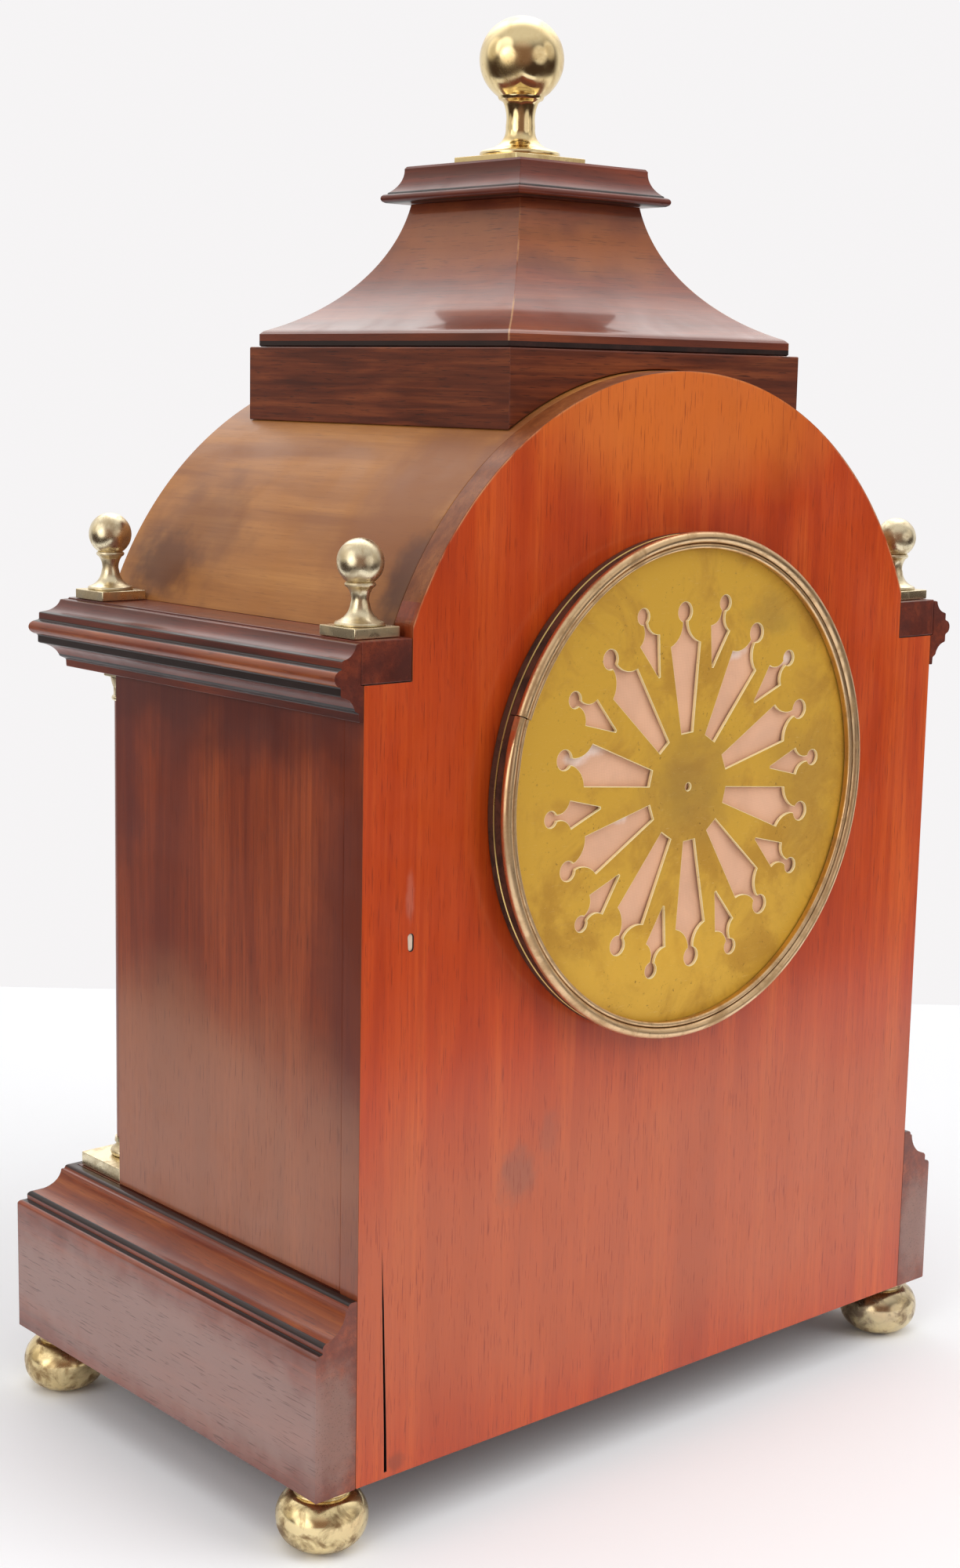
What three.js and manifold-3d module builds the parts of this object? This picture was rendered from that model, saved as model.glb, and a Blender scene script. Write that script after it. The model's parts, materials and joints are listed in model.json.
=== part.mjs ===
// Bracket clock: arched mahogany case with a caddy top, round glazed front door, round pierced rear
// door, and an eight-day round-plate movement that strikes on a bell.
// Millimetres. +Z is up, the dial faces -Y, the pierced rear door faces +Y, +X is on the right
// when the dial is read. Heights are measured from the underside of the plinth.

import * as THREE from 'three';
import { mergeVertices } from 'three/addons/utils/BufferGeometryUtils.js';
import Module from 'manifold-3d';

const wasm = await Module();
wasm.setup();

// ---------------------------------------------------------------- fits
const GLUE_LINE = 0.1; // between boards glued face to face
const FITTED_GAP = 0.3; // at scribed, rebated and round joints
const RUNNING_PLAY = 0.05; // radial play of a shaft in its hole

// ---------------------------------------------------------------- case sizes
const BODY_HALF_WIDTH = 120;
const BODY_DEPTH = 145.7;
const PANEL_THICKNESS = 8;
const POST_THICKNESS = 6;
const COLUMN_RECESS = 24.2; // square corner recess that holds a column

const PLINTH_BOARD_HEIGHT = 41.8;
const PLINTH_TOP = 55.9;
const PLINTH_PROJECTION = 14.3;
const BASE_BOARD_THICKNESS = 14;

const SHOULDER_UNDERSIDE = 228;
const SHOULDER_THICKNESS = 11.65;
const SHOULDER_OVERHANG = 1;
const SHOULDER_SHOWN_WIDTH = 17.5; // end grain let into the back panel
const SHOULDER_FULL_WIDTH = 23; // carries the foot of the vault
const CORNICE_HEIGHT = 21.2;
const CORNICE_TOP_DROP = 0.4; // below the top of the shoulder board
const CORNICE_RETURN = 32; // length of the mitred return across the front

const ARCH_FOOT_INSET = 15.2846; // from the side of the body to where the arch meets the shoulder
const ARCH_CENTRE_DROP = 39.45; // below the top of the shoulder board
const VAULT_THICKNESS = 5;
const VAULT_FRONT_OVERHANG = 1.4;

// ---------------------------------------------------------------- caddy top sizes
const CADDY_BOX_HALF_WIDTH = 60.7;
const CADDY_DEPTH_EXTRA = 1.3; // half depth less half width, box
const ROOF_DEPTH_EXTRA = 0.4; // half depth less half width, roof and cap
const CADDY_ABOVE_ARCH = 5.35; // top of the box above the crown of the arch
const ROOF_FOOT_HALF = 58.9;
const ROOF_FOOT_HEIGHT = 4.4;
const ROOF_NECK_HALF = 25.1;
const ROOF_HEIGHT = 44.6;
const CAP_HALF = 32;
const CAP_HEIGHT = 11.3;

// ---------------------------------------------------------------- brass fittings on the case
const FOOT_RADIUS = 13.3;
const FOOT_HEIGHT = 19.5;
const FOOT_BULGE = 8;
const FOOT_INSET = 10.8; // foot centre in from the corner of the plinth
const TOP_BALL_RADIUS = 13.1;
const TOP_FINIAL_HEIGHT = 45.4;
const TOP_FINIAL_PLATE_HALF = 14.5;
const TOP_FINIAL_SHIFT = [1.4, -1.4]; // the finial stands a little off centre
const CORNER_BALL_RADIUS = 6.35;
const CORNER_FINIAL_HEIGHT = 26.4;
const CORNER_PLATE_HALF = 8;
const CORNER_FINIAL_INSET_X = 7; // in from the side of the body
const CORNER_FINIAL_INSET_Y = 10.9; // in from the back and front of the body
const COLUMN_BASE_HALF = 11.2; // square block
const COLUMN_BLOCK_HEIGHT = 4.4;
const COLUMN_TORUS_RADIUS = 6.2; // ring on the block
const COLUMN_BASE_HEIGHT = 10.4;
const COLUMN_CAPITAL_HALF = 5.2;
const COLUMN_CAPITAL_HEIGHT = 10;
const COLUMN_FOOT_RADIUS = 4.2;
const COLUMN_NECK_RADIUS = 3.9;

// ---------------------------------------------------------------- round doors
const DOOR_CENTRE_DROP = 50.15; // door and dial centre below the top of the shoulder board
const REAR_FLANGE_RADIUS = 75.6;
const FRONT_FLANGE_RADIUS = 81;
const FLANGE_HEIGHT = 2.5;
const FLANGE_WIDTH = 5;
const TUBE_WALL = 1.6;
const TUBE_DEPTH = 12.85;
const RIM_HEIGHT = 5.9; // door rim, from its joint with the flange to its crest
const RIM_WALL = 3;
const BEAD_RADIUS = 1.7;
const LIP_RADIUS = 0.85;
const HINGE_BARREL_RADIUS = 1.6;
const HINGE_PIN_RADIUS = 0.8;
const HINGE_OFFSET = 2.7; // hinge axis outside the flange
const KNUCKLE_HALF_LENGTH = 3;
const HINGE_HALF_LENGTH = 9;
const PIERCED_PLATE_THICKNESS = 1.15;
const LINING_THICKNESS = 0.5;
const GLASS_THICKNESS = 1.9;
const GLASS_BEVEL = 6;
const RING_SEGMENTS = 32;

// ---------------------------------------------------------------- pierced pattern of the rear door
const PIERCING_COUNT = 10; // of each kind
const LONG_SLOT_START_ANGLE = 94;
const SHORT_SLOT_START_ANGLE = 76;
// [radius from the centre of the door, half width] of each corner of a slot, from the centre outwards
const LONG_SLOT = { foot: [16.5, 2.4], shoulder: [43, 6.2], neck: [48.8, 1.0], ball: [52.8, 2.9] };
const SHORT_SLOT = { foot: [36.8, 0.3], shoulder: [48.6, 4.1], neck: [53.6, 0.8], ball: [56.2, 2.4] };
const DOOR_CENTRE_HOLE = 1.2;

// ---------------------------------------------------------------- dial and hands
const DIAL_THICKNESS = 1.5;
const DIAL_SETBACK = 6.35; // dial face behind the front panel face
const DIAL_FOOT_RADIUS = 1.6;
const DIAL_FOOT_ORBIT = 40;
const DIAL_CENTRE_HOLE = 5;
const WINDING_HOLE_RADIUS = 4.2;
const HOUR_HAND_LENGTH = 41;
const MINUTE_HAND_LENGTH = 62;
const HAND_THICKNESS = 0.8;
const HOUR_HAND_DEPTH = 3.3; // front face behind the front panel face
const MINUTE_HAND_DEPTH = 1.2;
const SHOWN_MINUTES = 10; // the hands show ten past ten
const SHOWN_HOURS = 10;

// ---------------------------------------------------------------- movement
// Depths run back from the face of the front panel. Places are [x, z] from the dial centre.
const PLATE_RADIUS = 50;
const PLATE_THICKNESS = 2.5;
const FRONT_PLATE_DEPTH = 12.85;
const PLATE_SPACING = 42;
const PILLAR_RADIUS = 2.5;
const PILLAR_ORBIT = 46;
const PILLAR_ANGLES = [8, 90, 172, 270];
const BARREL_CENTRE = [21.5, -22];
const BARREL_RADIUS = 17.8;
const BARREL_LENGTH = 21;
const BARREL_DEPTH = 20.3;
const ARBOR_RADIUS = 1.2;
const CENTRE_ARBOR_RADIUS = 1.6;
const THIN_ARBOR_RADIUS = 0.6;
const WINDING_ARBOR_RADIUS = 2.2;
const WINDING_SQUARE_HALF = 1.4;
const INTERMEDIATE_DISTANCE = [22.87, 17.5]; // from the going barrel and from the centre arbor
const THIRD_DISTANCE = 16.6;
const THIRD_ANGLE = 118;
const ESCAPE_DISTANCE = 14.4;
const TEETH = { great: 48, intermediate: 48, centre: 72, third: 66, escape: 36 };
const LEAVES = { intermediate: 8, centre: 8, third: 6, escape: 6 };
const WHEEL_THICKNESS = 1.4;
const GREAT_WHEEL_DEPTH = 42.85;
const INTERMEDIATE_DEPTH = 48.85;
const CENTRE_WHEEL_DEPTH = 54.2;
const THIRD_WHEEL_DEPTH = 30.85;
const ESCAPE_WHEEL_DEPTH = 22.85;
const ESCAPE_RADIUS = 8.2;
const ANCHOR_ABOVE_ESCAPE = 11.9;
const PALLET_GAP = 0.85; // pallets stand clear of the teeth through the whole swing
const CRUTCH_LENGTH = 31;
const PENDULUM_BEHIND_PLATE = 6.2;
const SUSPENSION_ABOVE_ANCHOR = 3.6;
const PENDULUM_LENGTH = 142.6; // suspension to bob centre
const BOB_RADIUS = 17;
const BOB_THICKNESS = 9;
const BELL_CENTRE = [-15, -8];
const BELL_RADIUS = 32;
const BELL_HEIGHT = 23.5;
const BELL_WALL = 1.8;
const BELL_BEHIND_PLATE = 14;
const BELL_POST_RADIUS = 2.4;
const HAMMER_PIVOT = [34, 24];
const HAMMER_HEAD_RADIUS = 3;
const HAMMER_HEAD_LENGTH = 8;
const HAMMER_GAP = 0.6;

// ---------------------------------------------------------------- places that follow from the sizes
const BACK_Y = BODY_DEPTH / 2;
const FRONT_Y = -BODY_DEPTH / 2;
const SHOULDER_TOP = SHOULDER_UNDERSIDE + SHOULDER_THICKNESS;
const CORNICE_TOP = SHOULDER_TOP - CORNICE_TOP_DROP;
const CORNICE_BOTTOM = CORNICE_TOP - CORNICE_HEIGHT;
const ARCH_RADIUS = Math.hypot(BODY_HALF_WIDTH - ARCH_FOOT_INSET, ARCH_CENTRE_DROP);
const ARCH_CENTRE_Z = SHOULDER_TOP - ARCH_CENTRE_DROP;
const DOOR_CENTRE_Z = SHOULDER_TOP - DOOR_CENTRE_DROP;
const CADDY_BOX_TOP = ARCH_CENTRE_Z + ARCH_RADIUS + CADDY_ABOVE_ARCH;
const ROOF_BOTTOM = CADDY_BOX_TOP + GLUE_LINE;
const CAP_BOTTOM = ROOF_BOTTOM + ROOF_HEIGHT + GLUE_LINE;
const CAP_TOP = CAP_BOTTOM + CAP_HEIGHT;
const FOOT_OFFSET_X = BODY_HALF_WIDTH + PLINTH_PROJECTION - FOOT_INSET;
const FOOT_FRONT_Y = FRONT_Y - PLINTH_PROJECTION + FOOT_INSET;
const FOOT_BACK_Y = BACK_Y - FOOT_INSET;
const RIM_JOINT = FITTED_GAP + FLANGE_HEIGHT + FITTED_GAP;
const REARMOST_Y = BACK_Y + RIM_JOINT + RIM_HEIGHT;
const FOREMOST_Y = FOOT_FRONT_Y - FOOT_RADIUS;
const BACK_PLATE_DEPTH = FRONT_PLATE_DEPTH + PLATE_THICKNESS + PLATE_SPACING;
const MOVEMENT_BACK = BACK_PLATE_DEPTH + PLATE_THICKNESS;

// ---------------------------------------------------------------- finishes
const finish = (color, roughness, metalness) =>
  new THREE.MeshStandardMaterial({ color, roughness, metalness });
const FRENCH_POLISHED_BACK = finish(0xb4491a, 0.35, 0);
const DARK_MAHOGANY = finish(0x5d2413, 0.3, 0);
const VAULT_MAHOGANY = finish(0x8a5527, 0.3, 0);
const POLISHED_BRASS = finish(0xc9a24c, 0.22, 1);
const AGED_BRASS = finish(0xa8862f, 0.4, 1);
const SILVERED_DIAL = finish(0xd8d4c6, 0.45, 0.3);
const BLUED_STEEL = finish(0x1c2540, 0.3, 1);
const BRIGHT_STEEL = finish(0x8f9296, 0.3, 1);
const BELL_METAL = finish(0xb9a66e, 0.3, 1);
const CLEAR_GLASS = finish(0xdfe8e6, 0.05, 0);
const PINK_SILK = finish(0xc98f7c, 0.8, 0);

// ---------------------------------------------------------------- outlines
const radians = (degrees) => (degrees * Math.PI) / 180;

/** Points of the circular arc from a to c through b, both ends included. */
function arcThrough(a, b, c, steps) {
  const square = (p) => p[0] * p[0] + p[1] * p[1];
  const area = a[0] * (b[1] - c[1]) + b[0] * (c[1] - a[1]) + c[0] * (a[1] - b[1]);
  const sumX = square(a) * (b[1] - c[1]) + square(b) * (c[1] - a[1]) + square(c) * (a[1] - b[1]);
  const sumY = square(a) * (c[0] - b[0]) + square(b) * (a[0] - c[0]) + square(c) * (b[0] - a[0]);
  const centre = [sumX / (2 * area), sumY / (2 * area)];
  const radius = Math.hypot(a[0] - centre[0], a[1] - centre[1]);
  const start = Math.atan2(a[1] - centre[1], a[0] - centre[0]);
  let sweep = Math.atan2(c[1] - centre[1], c[0] - centre[0]) - start;
  if (area > 0 && sweep < 0) sweep += 2 * Math.PI;
  if (area < 0 && sweep > 0) sweep -= 2 * Math.PI;
  return arc(centre, radius, start, start + sweep, steps);
}

/** Points of an arc about a centre, both ends included, angles in radians. */
function arc(centre, radius, start, end, steps) {
  return Array.from({ length: steps + 1 }, (_, i) => {
    const angle = start + ((end - start) * i) / steps;
    return [centre[0] + radius * Math.cos(angle), centre[1] + radius * Math.sin(angle)];
  });
}

/** Points of a full circle. */
const circle = (centre, radius, count) =>
  arc(centre, radius, 0, (2 * Math.PI * (count - 1)) / count, count - 1);

const rectangle = (x0, y0, x1, y1) => [
  [x0, y0],
  [x1, y0],
  [x1, y1],
  [x0, y1],
];

const mirrored = (points) => points.map(([x, y]) => [-x, y]).reverse();

/** Radius of a faceted hole that a round shaft turns in with the running play. */
const boreFor = (shaftRadius, sides) => (shaftRadius + RUNNING_PLAY) / Math.cos(Math.PI / sides);

// ---------------------------------------------------------------- solids
/** Merges shared vertices, drops empty triangles and turns the faces outwards. */
function closed(geometry) {
  geometry.deleteAttribute('normal');
  geometry.deleteAttribute('uv');
  const merged = mergeVertices(geometry, 1e-5);
  const place = merged.attributes.position;
  const index = merged.index.array;
  const corners = [new THREE.Vector3(), new THREE.Vector3(), new THREE.Vector3()];
  const kept = [];
  let volume = 0;
  for (let i = 0; i < index.length; i += 3) {
    const [a, b, c] = [index[i], index[i + 1], index[i + 2]];
    if (a === b || b === c || c === a) continue;
    kept.push(a, b, c);
    corners.forEach((corner, k) => corner.fromBufferAttribute(place, index[i + k]));
    volume += corners[0].dot(corners[1].clone().cross(corners[2])) / 6;
  }
  if (volume < 0) kept.reverse();
  merged.setIndex(kept);
  return merged;
}

/** Closed geometry to a solid that can be joined and cut. */
function solid(geometry) {
  const clean = closed(geometry);
  const vertProperties = new Float32Array(clean.attributes.position.array);
  const triVerts = new Uint32Array(clean.index.array);
  return new wasm.Manifold(new wasm.Mesh({ numProp: 3, vertProperties, triVerts }));
}

/** A solid back to geometry. */
function geometryOf(body) {
  const mesh = body.getMesh();
  const geometry = new THREE.BufferGeometry();
  geometry.setAttribute('position', new THREE.BufferAttribute(mesh.vertProperties, 3));
  geometry.setIndex(new THREE.BufferAttribute(mesh.triVerts, 1));
  return geometry;
}

const join = (...pieces) => geometryOf(pieces.map(solid).reduce((sum, piece) => sum.add(piece)));
const cut = (piece, ...tools) =>
  geometryOf(tools.map(solid).reduce((rest, tool) => rest.subtract(tool), solid(piece)));

/** Plan outline in (x, y), raised from one height to another. */
function upright(outline, bottom, top, holes = []) {
  const shape = new THREE.Shape(outline.map(([x, y]) => new THREE.Vector2(x, y)));
  shape.holes = holes.map((hole) => new THREE.Path(hole.map(([x, y]) => new THREE.Vector2(x, y))));
  const geometry = new THREE.ExtrudeGeometry(shape, { depth: top - bottom, bevelEnabled: false });
  return geometry.translate(0, 0, bottom);
}

/** Face outline in (x, z), carried back from one depth to another along +Y. */
function panel(outline, nearY, farY, holes = []) {
  return upright(outline, 0, farY - nearY, holes).rotateX(Math.PI / 2).translate(0, farY, 0);
}

const box = (x0, y0, z0, x1, y1, z1) =>
  new THREE.BoxGeometry(x1 - x0, y1 - y0, z1 - z0).translate(
    (x0 + x1) / 2,
    (y0 + y1) / 2,
    (z0 + z1) / 2,
  );

/** Turned about Y: the profile is [radius, y]. */
const turnedAlongY = (profile, segments) =>
  new THREE.LatheGeometry(profile.map(([r, y]) => new THREE.Vector2(r, y)), segments);

/** Turned about Z: the profile is [radius, z]. */
const turnedUpright = (profile, segments) => turnedAlongY(profile, segments).rotateX(Math.PI / 2);

/** A plain rod along Y about the point [x, z]. */
const rod = ([x, z], radius, nearY, farY, sides) =>
  turnedAlongY([[0, nearY], [radius, nearY], [radius, farY], [0, farY]], sides).translate(x, 0, z);

/** Skin over matching rings of points, with the profile's own triangulation as end caps. */
function loft(rings, profile) {
  const count = profile.length;
  const index = [];
  for (let ring = 0; ring < rings.length - 1; ring += 1) {
    for (let i = 0; i < count; i += 1) {
      const a = ring * count + i;
      const b = ring * count + ((i + 1) % count);
      index.push(a, b, b + count, a, b + count, a + count);
    }
  }
  const last = (rings.length - 1) * count;
  const caps = THREE.ShapeUtils.triangulateShape(profile.map(([x, y]) => new THREE.Vector2(x, y)), []);
  for (const [a, b, c] of caps) {
    index.push(c, b, a, last + a, last + b, last + c);
  }
  const geometry = new THREE.BufferGeometry();
  geometry.setAttribute('position', new THREE.Float32BufferAttribute(rings.flat(2), 3));
  geometry.setIndex(index);
  return geometry;
}

/**
 * Moulding with an [out, up] profile, run past stations. Each station gives a point on the body's
 * face in plan and the direction in which the moulding stands out there.
 */
function moulding(profile, stations) {
  const rings = stations.map(({ at, out }) =>
    profile.map(([o, z]) => [at[0] + o * out[0], at[1] + o * out[1], z]),
  );
  return loft(rings, profile);
}

/** Square stack: each level is [half width, height], and the half depth is larger by extra. */
function squareStack(levels, extra) {
  const rings = levels.map(([half, z]) => {
    const deep = half + extra;
    return [[-half, -deep, z], [half, -deep, z], [half, deep, z], [-half, deep, z]];
  });
  return loft(rings, rectangle(-1, -1, 1, 1));
}

// ---------------------------------------------------------------- scene graph
const clock = new THREE.Group();
clock.position.set(0, -(REARMOST_Y + FOREMOST_Y) / 2, FOOT_HEIGHT);

function add(name, geometry, material, parent = clock) {
  const mesh = new THREE.Mesh(closed(geometry), material);
  mesh.name = name;
  parent.add(mesh);
  return mesh;
}

const SIDES = [
  ['left', -1],
  ['right', 1],
];

// ---------------------------------------------------------------- plinth
function plinth() {
  const cove = arcThrough(
    [PLINTH_PROJECTION - 3.3, PLINTH_TOP - 9.7],
    [6.3, PLINTH_TOP - 7],
    [3.9, PLINTH_TOP - 1.5],
    4,
  );
  const profile = [
    [GLUE_LINE, 0],
    [PLINTH_PROJECTION, 0],
    [PLINTH_PROJECTION, PLINTH_BOARD_HEIGHT],
    [PLINTH_PROJECTION - 1.9, PLINTH_BOARD_HEIGHT + 2],
    [PLINTH_PROJECTION - 2.5, PLINTH_BOARD_HEIGHT + 3.9],
    ...cove,
    [3, PLINTH_TOP - 0.4],
    [GLUE_LINE, PLINTH_TOP],
  ];
  for (const [name, side] of SIDES) {
    const run = moulding(profile, [
      { at: [side * BODY_HALF_WIDTH, BACK_Y], out: [side, 0] },
      { at: [side * BODY_HALF_WIDTH, FRONT_Y + GLUE_LINE], out: [side, -1] },
    ]);
    add(`plinth_side_${name}`, run, DARK_MAHOGANY);
  }
  const front = moulding(profile, [
    { at: [-BODY_HALF_WIDTH, FRONT_Y], out: [-1, -1] },
    { at: [BODY_HALF_WIDTH, FRONT_Y], out: [1, -1] },
  ]);
  add('plinth_front', front, DARK_MAHOGANY);
  const boardBack = BACK_Y - PANEL_THICKNESS - GLUE_LINE;
  const board = box(
    -BODY_HALF_WIDTH,
    FRONT_Y,
    PLINTH_TOP - BASE_BOARD_THICKNESS,
    BODY_HALF_WIDTH,
    boardBack,
    PLINTH_TOP,
  );
  add('base_board', board, DARK_MAHOGANY);
}

// ---------------------------------------------------------------- body panels
const BODY_BOTTOM = PLINTH_TOP + GLUE_LINE;
const BODY_TOP = SHOULDER_UNDERSIDE - GLUE_LINE;
const RECESS_X = BODY_HALF_WIDTH - COLUMN_RECESS;
const RECESS_Y = FRONT_Y + COLUMN_RECESS;
const PANEL_INNER_BACK = BACK_Y - PANEL_THICKNESS;

/** Height of a circle about the arch centre at a distance from the middle of the clock. */
const archHeight = (radius, x) => ARCH_CENTRE_Z + Math.sqrt(radius * radius - x * x);

/** Arch outline above a shoulder, from the right foot over the crown to the left foot. */
function archOver(radius, footX, steps) {
  const footAngle = Math.acos(footX / radius);
  return arc([0, ARCH_CENTRE_Z], radius, footAngle, Math.PI - footAngle, steps);
}

function bodyPanels() {
  for (const [name, side] of SIDES) {
    const inner = side * (BODY_HALF_WIDTH - PANEL_THICKNESS);
    const outer = side * BODY_HALF_WIDTH;
    const board = box(
      Math.min(inner, outer),
      RECESS_Y,
      BODY_BOTTOM,
      Math.max(inner, outer),
      PANEL_INNER_BACK - GLUE_LINE,
      BODY_TOP,
    );
    add(`side_panel_${name}`, board, DARK_MAHOGANY);
    cornerPost(name, side);
  }

  const notchX = BODY_HALF_WIDTH + SHOULDER_OVERHANG - SHOULDER_SHOWN_WIDTH - GLUE_LINE;
  const backRight = [
    [BODY_HALF_WIDTH, 0],
    [BODY_HALF_WIDTH, BODY_TOP],
    [notchX, BODY_TOP],
  ];
  const backOutline = [...backRight, ...archOver(ARCH_RADIUS, notchX, 36), ...mirrored(backRight)];
  const rearHole = circle([0, DOOR_CENTRE_Z], tubeOuter(REAR_FLANGE_RADIUS) + FITTED_GAP, RING_SEGMENTS);
  add('back_panel', panel(backOutline, PANEL_INNER_BACK, BACK_Y, [rearHole]), FRENCH_POLISHED_BACK);

  const frontHalf = RECESS_X;
  const frontArch = ARCH_RADIUS - VAULT_THICKNESS - FITTED_GAP;
  const frontOutline = [
    [frontHalf, BODY_BOTTOM],
    ...archOver(frontArch, frontHalf, 30),
    [-frontHalf, BODY_BOTTOM],
  ];
  const frontHole = circle([0, DOOR_CENTRE_Z], tubeOuter(FRONT_FLANGE_RADIUS) + FITTED_GAP, RING_SEGMENTS);
  const frontBoard = panel(frontOutline, FRONT_Y, FRONT_Y + PANEL_THICKNESS, [frontHole]);
  add('front_panel', frontBoard, DARK_MAHOGANY);
}

/** L-shaped post that lines a column recess, with the block that carries the cornice return. */
function cornerPost(name, side) {
  const innerX = RECESS_X - POST_THICKNESS;
  const sideInner = BODY_HALF_WIDTH - PANEL_THICKNESS - GLUE_LINE;
  const panelBack = FRONT_Y + PANEL_THICKNESS + GLUE_LINE;
  const backY = RECESS_Y + POST_THICKNESS;
  const angle = [
    [innerX, panelBack],
    [RECESS_X, panelBack],
    [RECESS_X, RECESS_Y],
    [sideInner, RECESS_Y],
    [sideInner, backY],
    [innerX, backY],
  ];
  const handed = side > 0 ? angle : mirrored(angle);
  const post = upright(handed, BODY_BOTTOM, BODY_TOP);
  const blockInner = side * (RECESS_X + GLUE_LINE);
  const blockOuter = side * BODY_HALF_WIDTH;
  const block = box(
    Math.min(blockInner, blockOuter),
    FRONT_Y,
    CORNICE_BOTTOM,
    Math.max(blockInner, blockOuter),
    RECESS_Y - GLUE_LINE,
    BODY_TOP,
  );
  const tenonInner = side * (RECESS_X - 1);
  const tenonOuter = side * (RECESS_X + 4);
  const tenon = box(
    Math.min(tenonInner, tenonOuter),
    RECESS_Y - 4,
    CORNICE_BOTTOM + 1,
    Math.max(tenonInner, tenonOuter),
    RECESS_Y + 1,
    BODY_TOP - 1,
  );
  add(`corner_post_${name}`, join(post, block, tenon), DARK_MAHOGANY);
}

// ---------------------------------------------------------------- shoulders, cornice and vault
function shouldersAndCornice() {
  const edge = BODY_HALF_WIDTH + SHOULDER_OVERHANG;
  const frontEdge = FRONT_Y - SHOULDER_OVERHANG;
  const boardRight = [
    [edge - SHOULDER_FULL_WIDTH, frontEdge],
    [edge, frontEdge],
    [edge, BACK_Y],
    [edge - SHOULDER_SHOWN_WIDTH, BACK_Y],
    [edge - SHOULDER_SHOWN_WIDTH, PANEL_INNER_BACK - GLUE_LINE],
    [edge - SHOULDER_FULL_WIDTH, PANEL_INNER_BACK - GLUE_LINE],
  ];
  const behindBoard = SHOULDER_OVERHANG + GLUE_LINE;
  const top = CORNICE_TOP;
  const profile = [
    [GLUE_LINE, CORNICE_BOTTOM],
    [1.5, CORNICE_BOTTOM],
    [1.5, CORNICE_BOTTOM + 2.4],
    ...arcThrough([2.9, top - 18], [4.4, top - 15.5], [7.4, top - 14.2], 3),
    [7.7, top - 11.6],
    ...arcThrough([8, top - 11], [9.9, top - 9.1], [8.2, top - 7], 4),
    [7.5, top - 6.5],
    [7.4, top - 4.4],
    ...arcThrough([6, top - 4], [4, top - 2.9], [2.6, top - 0.3], 3),
    [behindBoard, top],
    [behindBoard, SHOULDER_UNDERSIDE - GLUE_LINE],
    [GLUE_LINE, SHOULDER_UNDERSIDE - GLUE_LINE],
  ];
  for (const [name, side] of SIDES) {
    const outline = side > 0 ? boardRight : mirrored(boardRight);
    add(`shoulder_${name}`, upright(outline, SHOULDER_UNDERSIDE, SHOULDER_TOP), DARK_MAHOGANY);
    const returnEnd = side * (BODY_HALF_WIDTH + PLINTH_PROJECTION - CORNICE_RETURN);
    const run = moulding(profile, [
      { at: [side * BODY_HALF_WIDTH, BACK_Y], out: [side, 0] },
      { at: [side * BODY_HALF_WIDTH, FRONT_Y], out: [side, -1] },
      { at: [returnEnd, FRONT_Y], out: [0, -1] },
    ]);
    add(`cornice_${name}`, run, DARK_MAHOGANY);
  }

  const springing = SHOULDER_TOP + GLUE_LINE;
  const innerRadius = ARCH_RADIUS - VAULT_THICKNESS;
  const footX = (radius) => Math.sqrt(radius * radius - (springing - ARCH_CENTRE_Z) ** 2);
  const outer = archOver(ARCH_RADIUS, footX(ARCH_RADIUS), 36);
  const inner = archOver(innerRadius, footX(innerRadius), 36).reverse();
  const vaultFront = FRONT_Y - VAULT_FRONT_OVERHANG;
  const vault = panel([...outer, ...inner], vaultFront, PANEL_INNER_BACK - GLUE_LINE);
  add('vault_roof', vault, VAULT_MAHOGANY);
}

// ---------------------------------------------------------------- caddy top
function caddy() {
  const half = CADDY_BOX_HALF_WIDTH;
  const deep = half + CADDY_DEPTH_EXTRA;
  const underside = archHeight(ARCH_RADIUS, half);
  const block = box(-half, -deep, underside, half, deep, CADDY_BOX_TOP);
  const vaultFit = panel(circle([0, ARCH_CENTRE_Z], ARCH_RADIUS + FITTED_GAP, 96), -deep - 1, deep + 1);
  add('caddy_box', cut(block, vaultFit), DARK_MAHOGANY);

  const roofTop = ROOF_BOTTOM + ROOF_HEIGHT;
  const slopeFoot = [ROOF_FOOT_HALF - 1, ROOF_BOTTOM + ROOF_FOOT_HEIGHT + 0.5];
  const slopeMiddle = [ROOF_NECK_HALF + 10.6, roofTop - 23.3];
  const roof = squareStack(
    [
      [ROOF_FOOT_HALF, ROOF_BOTTOM],
      [ROOF_FOOT_HALF, ROOF_BOTTOM + ROOF_FOOT_HEIGHT],
      ...arcThrough(slopeFoot, slopeMiddle, [ROOF_NECK_HALF, roofTop], 10),
    ],
    ROOF_DEPTH_EXTRA,
  );
  add('caddy_roof', roof, DARK_MAHOGANY);

  const capHollow = arcThrough(
    [CAP_HALF - 3, CAP_BOTTOM + 6],
    [CAP_HALF - 4.6, CAP_BOTTOM + 8.3],
    [CAP_HALF - 5.4, CAP_TOP],
    3,
  );
  const cap = squareStack(
    [
      [CAP_HALF - 3, CAP_BOTTOM],
      [CAP_HALF - 1.2, CAP_BOTTOM + 1],
      [CAP_HALF, CAP_BOTTOM + 2.8],
      [CAP_HALF - 0.5, CAP_BOTTOM + 4.6],
      [CAP_HALF - 2, CAP_BOTTOM + 5.4],
      ...capHollow,
    ],
    ROOF_DEPTH_EXTRA,
  );
  add('caddy_cap', cap, DARK_MAHOGANY);
}

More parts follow.
